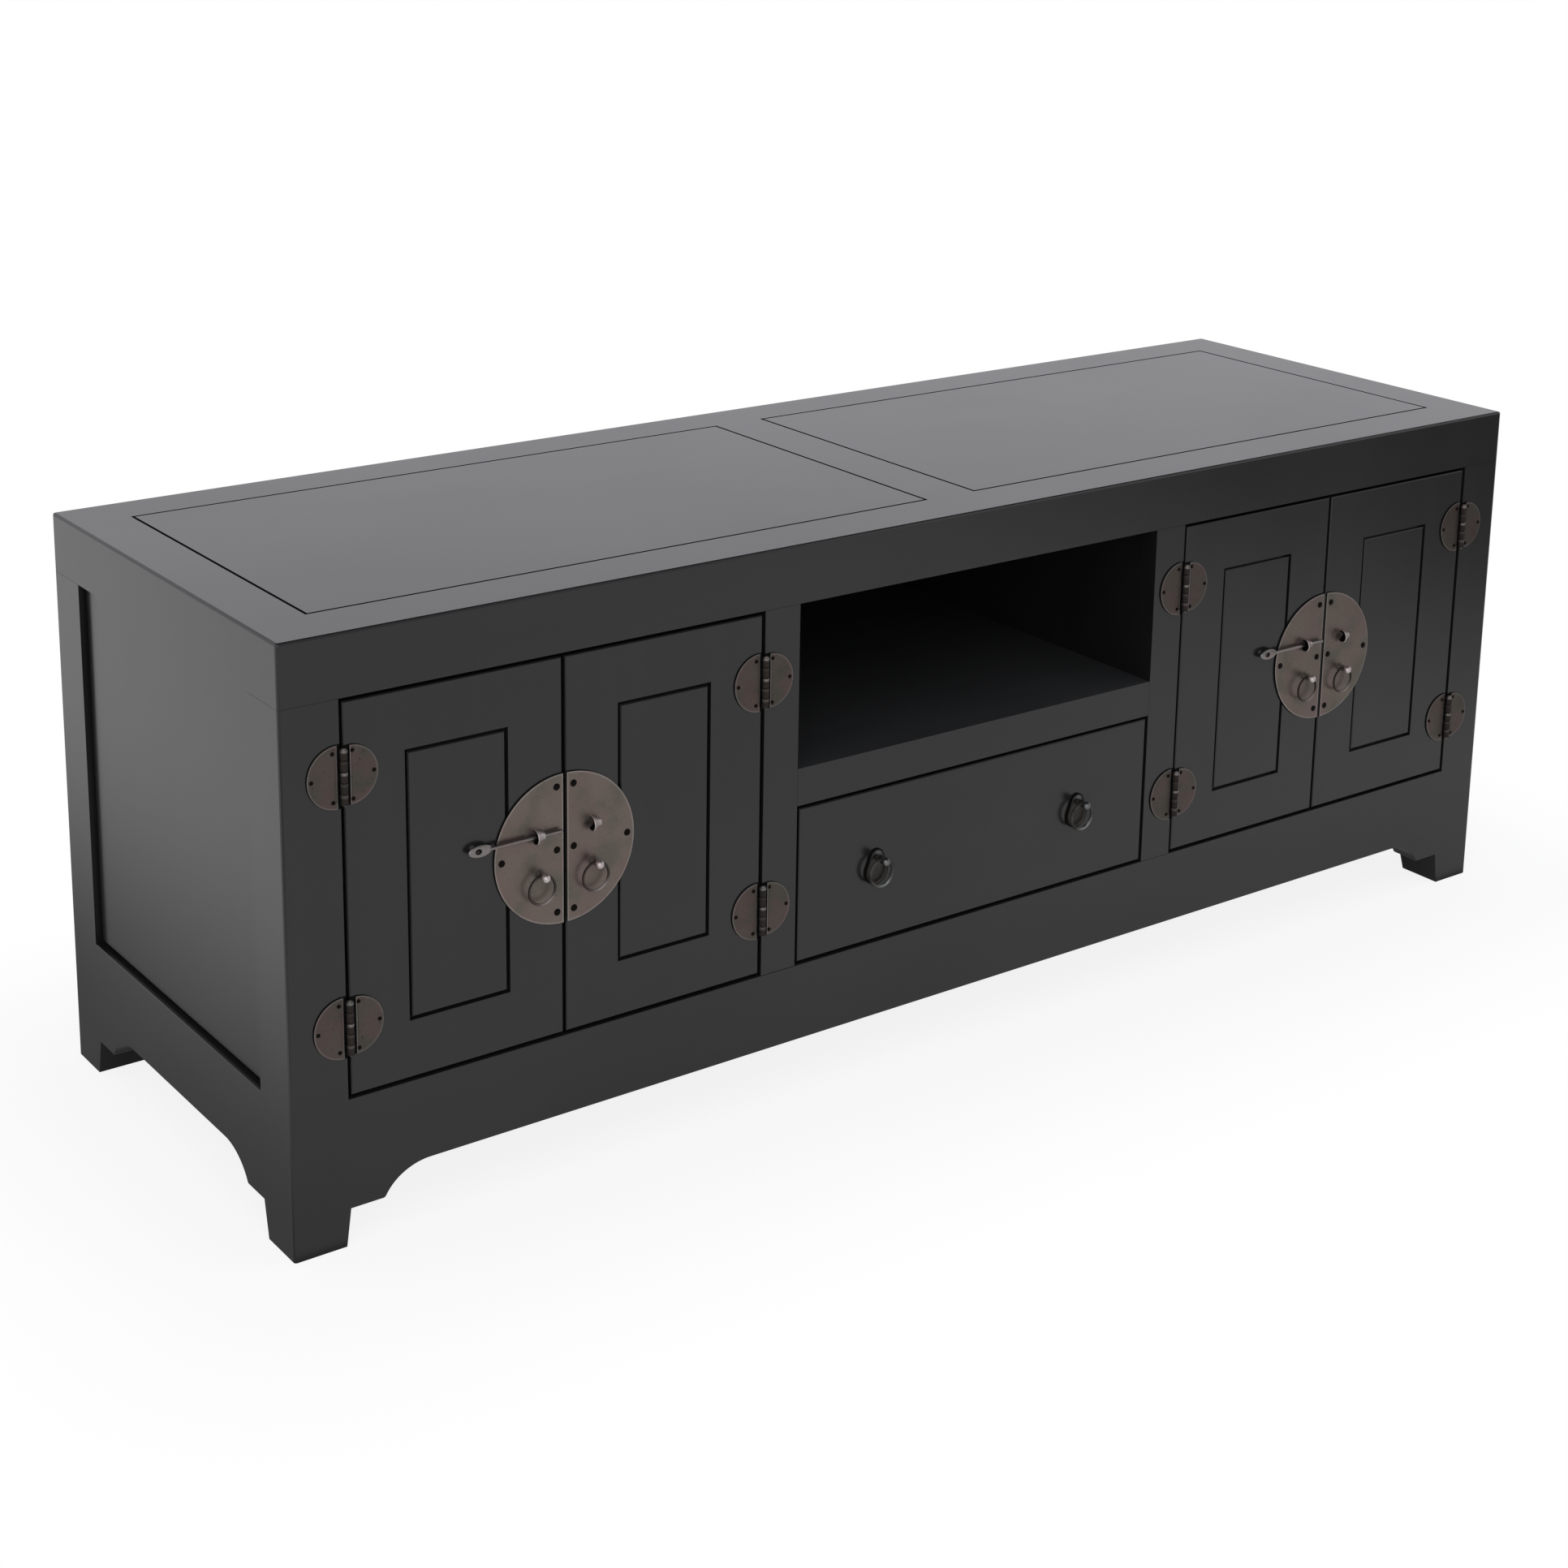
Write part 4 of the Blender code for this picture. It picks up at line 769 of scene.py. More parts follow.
# How far pieces go into what carries them
SINK = 0.0004
EAR_PLAY = 0.0003
EAR_FLARE = 1.35
EAR_STEPS = 16
# Where the paddle's flat runs into the shank, as shares of the paddle's length, and the shank's radius there
SHANK_START = ((0.74, 0.0006), (0.80, 0.0011))


def shadow_pool(centre, radius, level):
    """A thin cap of painted shadow that fades out at its edge: a profile of (along, radius) turned about -Y.
    """
    share = np.linspace(1.0, 0.04, 9)
    rise = POOL_LIFT + POOL_RISE * (1.0 - share ** 2)
    profile = np.concatenate([((-0.0001, radius),), pairs(rise, radius * share)])
    fade = level * np.concatenate([(0.0,), 0.5 + 0.5 * np.cos(np.pi * share)])
    return turned(profile, np.asarray(centre, dtype=float), RIGHT, UP, 32, grime_and_shade=fade)


def ring_post(root, wire, reach, sizes):
    """A flared foot, an eye that the ring hangs in, and a ball with a collar, along -Y from the root."""
    eye = wire / 2.0 + sizes.eye_gap
    neck = reach - sizes.ball_diameter
    eye_place = neck - eye - POST_SHEET * 1.3
    foot_top = eye_place - eye - POST_SHEET
    share = np.linspace(0.0, 1.0, 10)
    foot = pairs(-SINK + (foot_top + POST_LAP) * share, POST_STEM + POST_FLARE * (1.0 - share) ** 2.2)
    collar = np.array(POST_COLLAR) + (neck, 0.0)
    globe = sizes.globe_diameter / 2.0
    ball = arc_points((reach - globe, 0.0), (globe, globe), 148.0, 4.0, 18)
    # The globe round the ball carries a painted highlight all over; the foot darkens towards the plate and
    # the eye a little, painted shade
    bright = np.repeat((0.0, 1.0), (len(collar), len(ball)))
    return [
        turned(foot, root, RIGHT, UP, 28, grime_and_shade=np.linspace(0.9, 0.0, 10)),
        hoop(root - BACK * eye_place, BACK, UP, eye + POST_SHEET, POST_SHEET, 40, 14, grime_and_shade=0.25),
        turned(np.concatenate([collar, ball]), root, RIGHT, UP, 32, polish_and_highlight=bright),
    ]


def ear_hood(centre, plate_front, sizes):
    """A hollow hood that flares towards its mouth at the left, cut off by the plate behind it.

    Its closed profile is the outer flare from mouth to tail, the tail's end, the inner flare back and a
    round lip. A point is centre + along * X + r * (cos t * Y + sin t * Z), where t keeps clear of the angle
    at which the profile's radius reaches into the plate.
    """
    half = sizes.ear_length / 2.0
    wall = sizes.ear_wall
    mouth = sizes.ear_mouth / 2.0
    tail = sizes.ear_tail / 2.0
    hole = sizes.pin_diameter / 2.0 + EAR_PLAY
    lip_place = -half + wall / 2.0
    run = np.linspace(0.0, 1.0, EAR_STEPS)
    outer = pairs(
        lip_place + run * (sizes.ear_length - wall / 2.0), tail + (mouth - tail) * (1.0 - run) ** EAR_FLARE,
    )
    inner = outer[::-1][2:] - (0.0, wall)
    inner[:, 1] = np.maximum(hole, inner[:, 1])
    lip_turn = np.radians(np.linspace(-60.0, 60.0, 5))
    lip = pairs(
        lip_place - wall / 2.0 * np.cos(lip_turn), mouth - wall / 2.0 + wall / 2.0 * np.sin(lip_turn),
    )
    profile = np.concatenate([outer, ((half, hole),), inner, lip])
    counts = (EAR_STEPS, 1 + len(inner), len(lip))
    # The hood's inside is painted shade, and its outer flare and its lip carry painted highlights
    grime_and_shade = np.repeat((0.0, 1.0, 0.0), counts)
    polish_and_highlight = np.repeat((0.65, 0.0, 1.0), counts)
    along, radius = profile.T
    skip = np.arccos(np.clip((plate_front - centre[1] + SINK) / radius, -1.0, 1.0))
    share = np.linspace(0.0, 1.0, 49)
    turn = skip[:, None] + share[None, :] * (2.0 * np.pi - 2.0 * skip[:, None])
    points = (
        centre + along[:, None, None] * RIGHT + (radius[:, None] * np.cos(turn))[..., None] * BACK
        + (radius[:, None] * np.sin(turn))[..., None] * UP
    )
    rows = len(profile)
    columns = len(share)
    quads = grid_quads(rows, columns, close_rows=True, close_columns=False)
    first = np.arange(rows) * columns
    values = np.repeat(pairs(grime_and_shade, polish_and_highlight), columns, axis=0)
    return points.reshape(-1, 3), quads, [first, (first + columns - 1)[::-1]], values


class CABINET_OT_make_lock_plates(bpy.types.Operator):
    """Make the half plates of the doors, each with its ear and its ring post"""

    bl_idname = "cabinet.make_lock_plates"
    bl_label = "Make lock plates"

    def execute(self, context):
        sizes = context.scene.cabinet_fittings
        stations = rim_stations(sizes.plate_thickness, sizes.plate_rim)
        for door in DOORS:
            side = side_of(door)
            word = door.split("_")[0]
            low, high, middle = place_of(f"lock_plate_{door}")
            straight = low[0] if side > 0 else high[0]
            radius = (high[2] - low[2]) / 2.0
            back = np.array((straight, high[1], middle[2]))
            disc = sheet_of(half_moon(radius, side), stations, back, RIGHT, UP, RIM_SHADE, RIM_HIGHLIGHT)
            front = high[1] - sizes.plate_thickness
            inner = place_of(f"lock_plate_{word}_inner")[2]
            outer = place_of(f"lock_plate_{word}_outer")[2]
            ear = place_of(f"lock_pin_{word}")[2]
            ear[0] = (inner[0] + outer[0]) / 2.0 + side * sizes.ear_spacing
            mouth = np.array((ear[0] - sizes.ear_length / 2.0 - EAR_SHADE_STEP, front, ear[2]))
            post = joint_place(f"ring_{door}_swing")
            post[1] = front
            # Thin caps of painted shadow darken the plate at the ear's mouth and round the post's foot
            shells = [
                disc, ear_hood(ear, front, sizes), shadow_pool(mouth, EAR_SHADE, 0.9),
                *ring_post(post, sizes.door_wire, front - low[1], sizes), shadow_pool(post, POST_SHADE, 1.0),
            ]
            make_piece(
                f"plate_{door}", shells, "antique brass", f"door_{door}",
                [f"lock_plate_{door}"],
            )
        return {"FINISHED"}


def paddle(tail, sizes, height):
    """A flat oval with a round eye.

    Its cross-section is a rounded strip from the eye's edge (s = 0) to the oval's edge (s = 1); a point is
    tail + (1 - s) * eye(t) + s * oval(t), moved along -Y by the strip's height.
    """
    turn = np.linspace(0.0, 2.0 * np.pi, 96, endpoint=False)
    circle = pairs(np.cos(turn), np.sin(turn))
    half = sizes.paddle_length / 2.0
    oval = circle * np.array((half, height / 2.0)) + np.array((half, 0.0))
    eye = circle * sizes.paddle_eye / 2.0 + np.array((sizes.paddle_eye_place, 0.0))
    wrap = np.radians(np.linspace(-90.0, 90.0, 7))
    thick = sizes.paddle_thickness / 2.0
    outer = pairs(0.88 + 0.12 * np.cos(wrap), thick * np.sin(wrap))
    inner = pairs(0.10 - 0.10 * np.cos(wrap), -thick * np.sin(wrap))
    strip = np.concatenate([outer, ((0.12, thick),), inner, ((0.12, -thick),)])
    share = strip[:, 0][:, None, None]
    flat = (1.0 - share) * eye + share * oval
    points = tail + flat[..., :1] * RIGHT + flat[..., 1:] * UP - strip[:, 1][:, None, None] * BACK
    # The eye's inner wall is painted shade; the outer edge is made a little brighter
    grime_and_shade = np.repeat((0.0, 1.0, 0.0), (len(outer) + 1, len(inner), 1))
    polish_and_highlight = np.concatenate([0.3 * np.cos(wrap), np.zeros(len(strip) - len(wrap))])
    values = np.repeat(pairs(grime_and_shade, polish_and_highlight), len(turn), axis=0)
    return points.reshape(-1, 3), grid_quads(len(strip), len(turn), close_rows=True), [], values


class CABINET_OT_make_lock_pins(bpy.types.Operator):
    """Make the sliding lock pins, each a round shank with a flat oval paddle"""

    bl_idname = "cabinet.make_lock_pins"
    bl_label = "Make lock pins"

    def execute(self, context):
        sizes = context.scene.cabinet_fittings
        radius = sizes.pin_diameter / 2.0
        start = np.array((*SHANK_START, (0.93, radius), (1.05, radius))) * (sizes.paddle_length, 1.0)
        dome = np.radians(np.linspace(0.0, 84.0, 8))
        for word in SIDES:
            low, high, middle = place_of(f"lock_pin_{word}")
            tail = np.array((low[0], middle[1], middle[2]))
            length = high[0] - low[0]
            tip = pairs(length - radius + radius * np.sin(dome), radius * np.cos(dome))
            shank = turned(np.concatenate([start, tip]), tail, BACK, UP, 28)
            make_piece(
                f"pin_{word}", [shank, paddle(tail, sizes, high[2] - low[2])],
                "worn steel", f"pin_{word}", [f"lock_pin_{word}"],
            )
        return {"FINISHED"}


def make_ring(name, node, wire, grime_and_shade, polish_and_highlight, finish, body):
    """A ring in the place of a node, with its wire's diameter and the values along and round it."""
    low, high, middle = place_of(node)
    radius = (high[2] - low[2] - wire) / 2.0
    shell = hoop(middle, RIGHT, UP, radius, wire / 2.0, grime_and_shade=grime_and_shade, polish_and_highlight=polish_and_highlight)
    make_piece(name, [shell], finish, body, [node])


class CABINET_OT_make_door_rings(bpy.types.Operator):
    """Make the wire rings that hang in the posts of the lock plates"""

    bl_idname = "cabinet.make_door_rings"
    bl_label = "Make door rings"

    def execute(self, context):
        wire = context.scene.cabinet_fittings.door_wire
        # Painted shade on the wire's sides and back, less where the ring's bottom is made bright
        grime_and_shade = shaded_wire() * (1.0 - 0.7 * rubbed_and_highlit())
        for door in DOORS:
            name = f"ring_{door}"
            node = f"door_ring_{door}"
            # Rubbed wear and a painted highlight brighten the ring's bottom
            make_ring(name, node, wire, grime_and_shade, 0.5 * rubbed_and_highlit(), "antique brass", name)
        return {"FINISHED"}


# Hinges

KNUCKLES = 5
KNUCKLE_GAP = 0.0005
KNUCKLE_ROUNDING = 0.0007
KNUCKLE_SOOT = 0.75
# How much each knuckle's upper part is rubbed bright, from the lowest knuckle up
KNUCKLE_WEAR = (0.20, 0.10, 0.45, 0.05, 0.45)
WEAR_CLEANS = 1.6
# Where the rubbed part begins, as shares of a knuckle's pitch
WEAR_START = (0.62, 0.72)
LEAF_LIFT = 0.0002
LEAF_LAP = 0.0003
# Where the black sheet of painted shade behind the knuckles starts from the axis, and its thickness
SHADE_SHEET_START = 0.0015
SHADE_SHEET_THICKNESS = 0.0003
PIN_HEAD = 0.0019
PIN_DOME = 0.0009
PIN_SKIRT = 0.0006
PIN_SINK = 0.0002
PIN_ROD = 0.0011
ROD_END = 0.0005
# Places of a leaf's nails, as distances from the axis and heights over the middle
LEAF_NAILS = ((0.0080, 0.0185), (0.0080, -0.0185), (0.0250, 0.0))


def leaf_front(axis_place, sizes):
    """Where a hinge leaf's face lies along Y."""
    return axis_place[1] + sizes.leaf_start - LEAF_LIFT - sizes.leaf_thickness


def hinge_leaf(axis_place, side, places, with_pin, sizes):
    """A half-moon leaf on one side of its axis, and its share of the five knuckles with their straps.

    A knuckle is a profile with rounded ends turned about Z; a strap is a narrow sheet from the leaf to it.
    """
    start = sizes.leaf_start + (sizes.right_shade_margin if side > 0 else sizes.left_shade_margin)
    radius = sizes.leaf_reach - start
    edge = start + LEAF_LAP
    back = np.array((axis_place[0], leaf_front(axis_place, sizes) + sizes.leaf_thickness, axis_place[2]))
    stations = rim_stations(sizes.leaf_thickness, sizes.leaf_rim)
    moon = half_moon(radius, side, 48)
    # A thin black sheet of painted shade lies behind the knuckles, bared by the leaf's margin
    shade_sheet = to_side(rectangle((SHADE_SHEET_START, -radius), (edge, radius)), side)
    shells = [
        sheet_of(moon, stations, back + side * start * RIGHT, RIGHT, UP, RIM_SHADE, 1.1 * RIM_HIGHLIGHT),
        sheet_of(shade_sheet, ((0.0, 0.0), (0.0, SHADE_SHEET_THICKNESS)), back, RIGHT, UP, 1.0),
    ]
    half = sizes.knuckle_length / 2.0
    pitch = sizes.knuckle_length / KNUCKLES
    barrel = sizes.knuckle_diameter / 2.0
    turn = np.radians(np.linspace(0.0, 80.0, 5))
    end = pairs(KNUCKLE_ROUNDING * (1.0 - np.sin(turn)), barrel - KNUCKLE_ROUNDING * (1.0 - np.cos(turn)))
    for place in places:
        low = -half + place * pitch + KNUCKLE_GAP / 2.0
        high = low + pitch - KNUCKLE_GAP
        middle = np.array([(share * pitch, barrel) for share in WEAR_START])
        profile = np.concatenate([end[::-1] + (low, 0.0), middle + (low, 0.0), end * MIRROR + (high, 0.0)])
        wear = KNUCKLE_WEAR[place]
        rows = len(profile) // 2
        grime_and_shade = np.repeat((KNUCKLE_SOOT, KNUCKLE_SOOT - WEAR_CLEANS * wear), rows)
        shells.append(turned(profile, axis_place, RIGHT, BACK, 24, grime_and_shade, np.repeat((0.0, wear), rows)))
        # Each strap is black all over, painted shade in the valley beside its knuckle
        strap = to_side(rectangle((0.0, low), (edge, high)), side)
        shells.append(sheet_of(strap, stations, back, RIGHT, UP, 1.0))
    if with_pin:
        cap = np.radians(np.linspace(0.0, 80.0, 6))
        dome = pairs(PIN_DOME * np.sin(cap), PIN_HEAD * np.cos(cap))
        head = np.concatenate([((-PIN_SKIRT, PIN_HEAD),), dome])
        for up, first, second in ((1.0, RIGHT, BACK), (-1.0, BACK, RIGHT)):
            place = axis_place + up * UP * (half - PIN_SINK)
            shells.append(turned(head, place, first, second, 20, polish_and_highlight=1.0))
        rod = np.array(((ROD_END - half, PIN_ROD), (half - ROD_END, PIN_ROD)))
        shells.append(turned(rod, axis_place, RIGHT, BACK, 16, grime_and_shade=0.3))
    return shells


def hinge_axis(door, height):
    """The middle of a hinge: on the door's joint axis, at the height of the hinge's leaves."""
    place = joint_place(f"door_{door}_hinge")
    place[2] = place_of(f"hinge_carcass_{door}_{height}")[2][2]
    return place


def carcass_side(door, height):
    """1 where a hinge's carcass leaf lies to the right of its axis, and -1 where it lies to the left."""
    low, high, _ = place_of(f"hinge_carcass_{door}_{height}")
    axis = hinge_axis(door, height)[0]
    return 1 if high[0] - axis > axis - low[0] else -1


class CABINET_OT_make_hinges(bpy.types.Operator):
    """Make the half-moon hinges, a leaf with three knuckles and the pin and a leaf with two"""

    bl_idname = "cabinet.make_hinges"
    bl_label = "Make hinges"

    def execute(self, context):
        sizes = context.scene.cabinet_fittings
        for door in DOORS:
            for height in HEIGHTS:
                axis_place = hinge_axis(door, height)
                side = carcass_side(door, height)
                for kind, towards, places in (("carcass", side, (0, 2, 4)), ("door", -side, (1, 3))):
                    make_piece(
                        f"leaf_{kind}_{door}_{height}",
                        hinge_leaf(axis_place, towards, places, kind == "carcass", sizes), "dark bronze",
                        "carcass" if kind == "carcass" else f"door_{door}",
                        [f"hinge_{kind}_{door}_{height}"],
                    )
        return {"FINISHED"}


# Drawer pulls

HEAD_STEPS = 24
BOWL_STEPS = 36


def gourd_outline(sizes, spacing):
    """Two round lobes, the smaller above at zero, joined by the straight lines that touch both."""
    lower = sizes.base_lower / 2.0
    upper = sizes.base_upper / 2.0
    lean = math.degrees(math.asin((lower - upper) / spacing))
    head = arc_points((0.0, 0.0), (upper, upper), lean, 180.0 - lean, HEAD_STEPS)
    bowl = arc_points((0.0, -spacing), (lower, lower), 180.0 - lean, 360.0 + lean, BOWL_STEPS)
    return np.concatenate([head, bowl])


class CABINET_OT_make_drawer_pulls(bpy.types.Operator):
    """Make the drawer's pulls: gourd-shaped domed bases with a ring post, and their rings"""

    bl_idname = "cabinet.make_drawer_pulls"
    bl_label = "Make drawer pulls"

    def execute(self, context):
        sizes = context.scene.cabinet_fittings
        swell = np.radians(np.linspace(0.0, 90.0, 9))
        thick = sizes.base_thickness
        wall = np.array(((0.0004, 0.0), (0.0, 0.0003), (0.0, 0.55 * thick), (0.0011, 0.78 * thick)))
        dome = pairs(0.0012 + 0.0024 * (1.0 - np.cos(swell)), thick * (0.8 + 0.2 * np.sin(swell)))
        stations = np.concatenate([wall, dome])
        # Painted shade on the base's wall and the dome's border gives the dark outline round the base; the
        # upper lobe's dome carries a painted highlight with some rubbed wear
        grime_and_shade = np.concatenate([np.ones(len(wall)), np.linspace(0.4, 0.0, len(dome))])
        bright = np.concatenate([np.zeros(len(wall)), np.linspace(0.3, 0.9, len(dome))])
        worn = np.concatenate([np.sin(np.linspace(0.0, np.pi, HEAD_STEPS)), np.zeros(BOWL_STEPS)])
        polish_and_highlight = bright[:, None] * worn[None, :]
        # Painted shade on the rings' sides and back, less at their bright bottoms
        ring_shade = 0.62 * shaded_wire() * (1.0 - 0.9 * rubbed_and_highlit())
        # The rings' bottoms are made bright by rubbed wear and a painted highlight
        rubbed = 0.10 + 0.80 * rubbed_and_highlit()
        for word in SIDES:
            low, high, middle = place_of(f"pull_base_{word}")
            post = joint_place(f"drawer_ring_{word}_swing")
            spacing = post[2] - (low[2] + sizes.base_lower / 2.0)
            back = np.array((middle[0], high[1], post[2]))
            base = sheet_of(gourd_outline(sizes, spacing), stations, back, RIGHT, UP, grime_and_shade, polish_and_highlight)
            post[1] = high[1] - thick
            make_piece(
                f"pull_{word}", [base, *ring_post(post, sizes.pull_wire, post[1] - low[1], sizes)],
                "dark iron", "drawer", [f"pull_base_{word}"],
            )
            make_ring(
                f"pull_hoop_{word}", f"pull_ring_{word}", sizes.pull_wire, ring_shade, rubbed,
                "rubbed iron", f"drawer_ring_{word}",
            )
        return {"FINISHED"}


# Nails

# Places of a half plate's nails, as distances from the meeting line and heights over the middle
PLATE_NAILS = ((0.0060, 0.051), (0.0060, 0.0), (0.0060, -0.051), (0.0545, 0.0))
NAIL_RISE = 0.0008
NAIL_LIFT = 0.0001
NAIL_SINK = 0.0003


def nail_heads(places, diameter):
    """Low domes, one at each place: a quarter ellipse of (along, radius) turned about -Y."""
    radius = diameter / 2.0
    swell = np.radians(np.linspace(0.0, 82.0, 7))
    dome = pairs(NAIL_LIFT + NAIL_RISE * np.sin(swell), radius * np.cos(swell))
    profile = np.concatenate([((-NAIL_SINK, radius),), dome])
    return [turned(profile, np.asarray(place), RIGHT, UP, 20) for place in places]


class CABINET_OT_drive_nails(bpy.types.Operator):
    """Drive the nails of the lock plates and the hinge leaves"""

    bl_idname = "cabinet.drive_nails"
    bl_label = "Drive nails"

    def execute(self, context):
        sizes = context.scene.cabinet_fittings
        fixed = []
        for door in DOORS:
            side = side_of(door)
            low, high, middle = place_of(f"lock_plate_{door}")
            straight = low[0] if side > 0 else high[0]
            front = high[1] - sizes.plate_thickness
            places = [(straight + side * across, front, middle[2] + up) for across, up in PLATE_NAILS]
            heads = nail_heads(places, sizes.plate_nail)
            for height in HEIGHTS:
                axis_place = hinge_axis(door, height)
                towards = carcass_side(door, height)
                for across, up in LEAF_NAILS:
                    spot = np.array((axis_place[0], leaf_front(axis_place, sizes), axis_place[2] + up))
                    fixed.append(spot + towards * across * RIGHT)
                    heads += nail_heads([spot - towards * across * RIGHT], sizes.hinge_nail)
            make_piece(f"nails_{door}", heads, "nail black", f"door_{door}")
        heads = nail_heads(fixed, sizes.hinge_nail)
        make_piece("nails_carcass", heads, "nail black", "carcass")
        return {"FINISHED"}


# Studio

FLOOR_REACH = 30.0
FLOOR_LINES = 13
SHADOW_REACH = 0.30
FRONT_REACH = 0.25
FRONT_LINE = 0.02
# Distances from the cabinet's sides between which the floor's level changes in reflections
SIDE_FADE = (0.01, 0.35)
# Where along X and Y the floor's level changes in reflections: far right, and round the left front patch
RIGHT_FADE = (0.8, 1.9)
PATCH_RIGHT = (-1.1, -0.7)
PATCH_LEFT = (-1.9, -1.3)
PATCH_FRONT = (-1.5, -0.9)
# Heights and depths of a direction between which the surround's level changes in reflections
CEILING_FADE = (0.40, 0.66)
HORIZON_FADE = (0.16, 0.34)
ROOM_FADE = (-0.55, 0.05)
FILL_LAMP = {"place": (-1.6, -2.4, 1.7), "aim": (0.0, -0.2, 0.35), "size": 3.6}
KEY_LAMP = {"place": (2.3, -1.5, 1.3), "aim": (0.0, -0.2, 0.3), "size": 2.4}


def soft_lamp(name, power, place, aim, size):
    """A square area lamp that faces its aim."""
    lamp = bpy.data.lights.new(name, "AREA")
    lamp.shape = "RECTANGLE"
    lamp.size = size
    lamp.size_y = size
    lamp.energy = power
    holder = bpy.data.objects.new(name, lamp)
    holder.location = place
    holder.rotation_euler = (Vector(aim) - Vector(place)).to_track_quat("-Z", "Y").to_euler()
    holder.visible_camera = False
    bpy.context.scene.collection.objects.link(holder)


def seen_directly(tree, rays):
    """1 for rays from the camera and for those that mirrors and glass send on, and 0 for soft light."""
    kinds = (rays[f"Is {kind} Ray"] for kind in ("Camera", "Glossy", "Transmission"))
    return combine(tree, "MAXIMUM", *kinds)


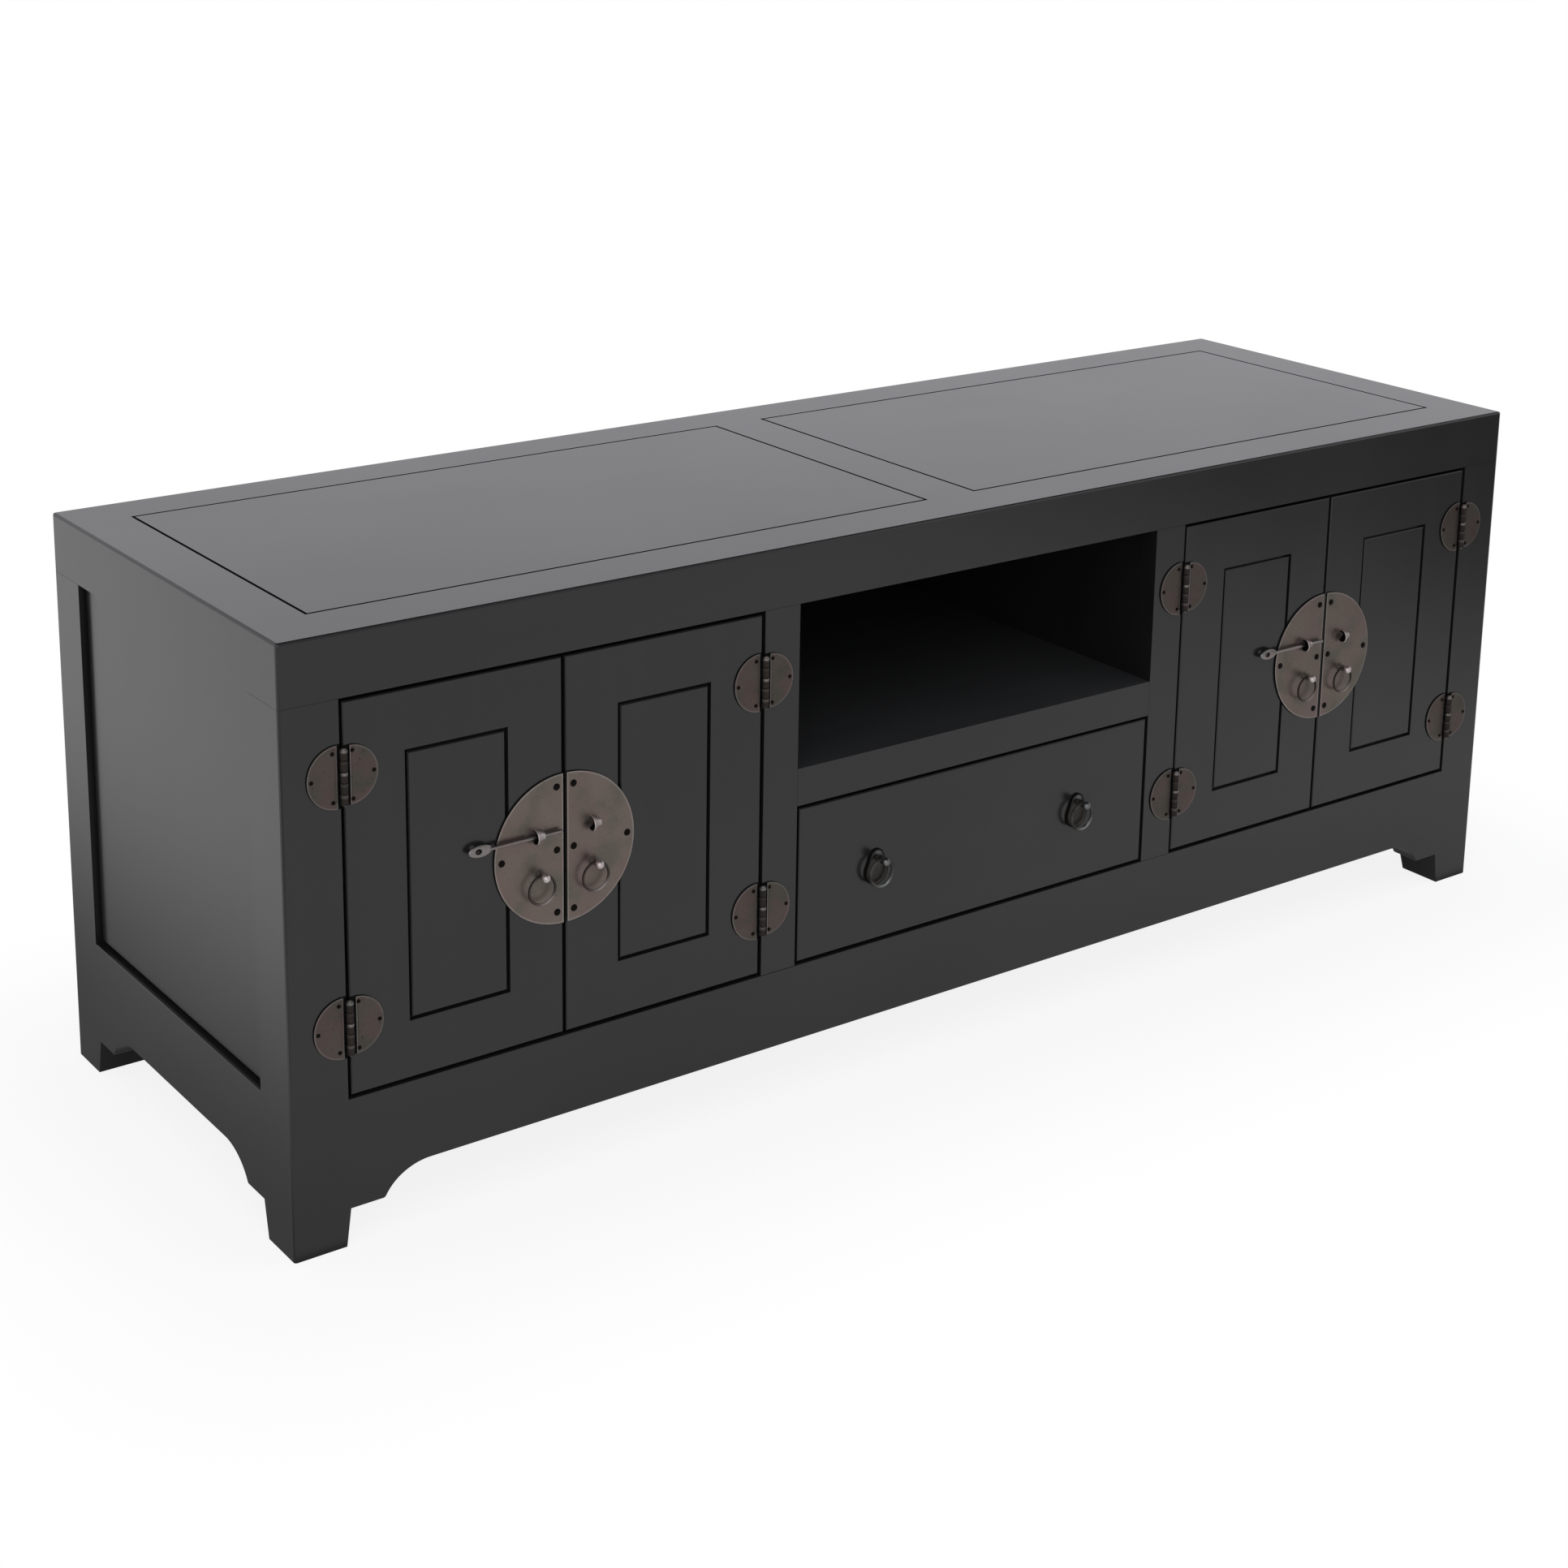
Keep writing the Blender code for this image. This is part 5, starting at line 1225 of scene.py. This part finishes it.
class CABINET_OT_set_stage(bpy.types.Operator):
    """Set the pale floor, the soft lamps, the white surround and the camera"""

    bl_idname = "cabinet.set_stage"
    bl_label = "Set stage"

    def execute(self, context):
        stage = context.scene.cabinet_stage
        self.lay_floor(stage)
        self.light(context.scene, stage)
        self.aim_camera(context.scene, stage)
        context.scene.view_settings.view_transform = "Standard"
        return {"FINISHED"}

    def lay_floor(self, stage):
        """A wide floor that is white where it is seen, but for a soft shadow under and round the cabinet."""
        tree, shader = new_material("studio floor")
        shader.inputs["Roughness"].default_value = 0.9
        shader.inputs["Specular IOR Level"].default_value = 0.1
        place = put(tree, "ShaderNodeTexCoord").outputs["Object"]
        grain = stretch(tree, cloud(tree, place, 3.0), 0.3, 0.7)
        darker = tuple(0.98 * value for value in stage.floor)
        colour = blend_colours(tree, grain, (*darker, 1.0), (*stage.floor, 1.0))
        tree.links.new(colour, shader.inputs["Base Color"])
        low, high = CAD_BOX
        half = (high - low) / 2.0
        reach = vector_step(tree, "ABSOLUTE", vector_step(tree, "SUBTRACT", place, (low + high) / 2.0)[0])[0]
        beyond = vector_step(tree, "MAXIMUM", vector_step(tree, "SUBTRACT", reach, half)[0])[0]
        distance = vector_step(tree, "LENGTH", beyond)["Value"]
        unshaded = stretch(tree, distance, 0.0, SHADOW_REACH, 1.0 - stage.contact, 1.0)
        rays = put(tree, "ShaderNodeLightPath").outputs
        mirrored = self.mirrored_floor(tree, stage, place, reach)
        strength = stretch(tree, rays["Is Camera Ray"], 0.0, 1.0, mirrored, 1.0)
        white = put(tree, "ShaderNodeEmission", {"Color": WHITE, "Strength": strength}).outputs[0]
        shown = combine(tree, "MULTIPLY", unshaded, seen_directly(tree, rays))
        either = put(tree, "ShaderNodeMixShader", {0: shown, 1: shader.outputs[0], 2: white})
        tree.links.new(either.outputs[0], tree.nodes["Material Output"].inputs["Surface"])
        side = np.linspace(-FLOOR_REACH, FLOOR_REACH, FLOOR_LINES)
        points = np.stack(np.broadcast_arrays(side[None, :], side[:, None], 0.0), axis=-1).reshape(-1, 3)
        mesh = bpy.data.meshes.new("studio_floor")
        quads = grid_quads(FLOOR_LINES, FLOOR_LINES, close_columns=False)
        mesh.from_pydata(points.tolist(), [], quads.tolist())
        mesh.materials.append(bpy.data.materials["studio floor"])
        floor = bpy.data.objects.new("studio_floor", mesh)
        bpy.context.scene.collection.objects.link(floor)

    def mirrored_floor(self, tree, stage, place, reach):
        """The floor's level in reflections: darker far right, at the left front and close to the cabinet."""
        low, high = CAD_BOX
        half_width = (high[0] - low[0]) / 2.0
        parts = put(tree, "ShaderNodeSeparateXYZ", {0: place}).outputs
        level = stretch(tree, parts["X"], *RIGHT_FADE, stage.near_floor, stage.far_floor)
        patch = combine(
            tree, "MAXIMUM", stretch(tree, parts["X"], *PATCH_RIGHT),
            stretch(tree, parts["X"], *PATCH_LEFT, 1.0, 0.0),
            stretch(tree, parts["Y"], *PATCH_FRONT, 1.0, 0.0),
        )
        kept = stretch(tree, patch, 0.0, 1.0, stage.left_floor, 1.0)
        close = stretch(tree, parts["Y"], low[1] - FRONT_REACH, low[1], 1.0, stage.foot_floor)
        ahead = combine(tree, "MULTIPLY", level, kept, close)
        aside = put(tree, "ShaderNodeSeparateXYZ", {0: reach}).outputs["X"]
        near, far = (half_width + value for value in SIDE_FADE)
        beside = stretch(tree, aside, near, far, stage.shaded_floor, stage.open_floor)
        behind = stretch(tree, parts["Y"], low[1], low[1] + FRONT_LINE)
        return stretch(tree, behind, 0.0, 1.0, ahead, beside)

    def light(self, scene, stage):
        """An even surround, white where it is seen, and soft lamps at the left and right front.

        In reflections the backdrop is white, and the ceiling and the room in front are darker.
        """
        world = bpy.data.worlds.new("studio surround")
        scene.world = world
        world.use_nodes = True
        tree = world.node_tree
        rays = put(tree, "ShaderNodeLightPath").outputs
        direction = put(tree, "ShaderNodeTexCoord").outputs["Generated"]
        parts = put(tree, "ShaderNodeSeparateXYZ", {0: direction}).outputs
        mirrored = combine(
            tree, "MULTIPLY", stretch(tree, parts["Z"], *CEILING_FADE, 1.0, stage.ceiling),
            stretch(tree, parts["Y"], *ROOM_FADE, stage.room, 1.0),
            stretch(tree, parts["Z"], *HORIZON_FADE, stage.horizon, 1.0),
        )
        shown = stretch(tree, rays["Is Camera Ray"], 0.0, 1.0, mirrored, 1.0)
        strength = stretch(tree, seen_directly(tree, rays), 0.0, 1.0, stage.surround, shown)
        tint = blend_colours(tree, rays["Is Camera Ray"], (*stage.back_tint, 1.0), WHITE)
        background = tree.nodes["Background"]
        tree.links.new(tint, background.inputs["Color"])
        tree.links.new(strength, background.inputs["Strength"])
        soft_lamp("fill_lamp", stage.fill_power, **FILL_LAMP)
        soft_lamp("key_lamp", stage.key_power, **KEY_LAMP)

    def aim_camera(self, scene, stage):
        """A camera with its axes from the aim and the level, and its frame moved down to the cabinet."""
        aim = Vector(stage.aim).normalized()
        level = Vector(stage.level)
        level = (level - aim * level.dot(aim)).normalized()
        rise = level.cross(aim)
        lens = bpy.data.cameras.new("photo_camera")
        lens.sensor_width = 36.0
        lens.lens = stage.lens
        lens.shift_y = stage.shift
        lens.dof.use_dof = False
        camera = bpy.data.objects.new("photo_camera", lens)
        turn = Matrix((level, rise, -aim)).transposed().to_4x4()
        camera.matrix_world = Matrix.Translation(Vector(stage.eye)) @ turn
        scene.collection.objects.link(camera)
        scene.camera = camera


STEPS = (
    CABINET_OT_mix_finishes, CABINET_OT_finish_boards, CABINET_OT_make_aprons, CABINET_OT_make_side_panels,
    CABINET_OT_make_lock_plates, CABINET_OT_make_lock_pins, CABINET_OT_make_door_rings,
    CABINET_OT_make_hinges, CABINET_OT_make_drawer_pulls, CABINET_OT_drive_nails, CABINET_OT_set_stage,
)
SETTINGS = {
    "cabinet_lacquer": LacquerSettings, "cabinet_metal": MetalSettings,
    "cabinet_fittings": FittingSettings, "cabinet_stage": StageSettings,
}


class CABINET_PT_sidebar(bpy.types.Panel):
    """Settings and steps of the cabinet"""

    bl_idname = "CABINET_PT_sidebar"
    bl_label = "Lacquer Tv Cabinet"
    bl_space_type = "VIEW_3D"
    bl_region_type = "UI"
    bl_category = "Cabinet"

    def draw(self, context):
        for name, group in SETTINGS.items():
            box = self.layout.box()
            for word in group.__annotations__:
                box.prop(getattr(context.scene, name), word)
        for step in STEPS:
            self.layout.operator(step.bl_idname)


def register():
    """Register the settings, the operators and the panel."""
    for kind in (*SETTINGS.values(), *STEPS, CABINET_PT_sidebar):
        bpy.utils.register_class(kind)
    for name, group in SETTINGS.items():
        setattr(bpy.types.Scene, name, PointerProperty(type=group))


def unregister():
    """Take back what register added."""
    for name in SETTINGS:
        delattr(bpy.types.Scene, name)
    for kind in reversed((*SETTINGS.values(), *STEPS, CABINET_PT_sidebar)):
        bpy.utils.unregister_class(kind)


def main():
    """Build the finishes, the pieces and the stage."""
    register()
    bpy.ops.cabinet.mix_finishes()
    bpy.ops.cabinet.finish_boards()
    bpy.ops.cabinet.make_aprons()
    bpy.ops.cabinet.make_side_panels()
    bpy.ops.cabinet.make_lock_plates()
    bpy.ops.cabinet.make_lock_pins()
    bpy.ops.cabinet.make_door_rings()
    bpy.ops.cabinet.make_hinges()
    bpy.ops.cabinet.make_drawer_pulls()
    bpy.ops.cabinet.drive_nails()
    bpy.ops.cabinet.set_stage()
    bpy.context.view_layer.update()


if __name__ == "__main__":
    main()
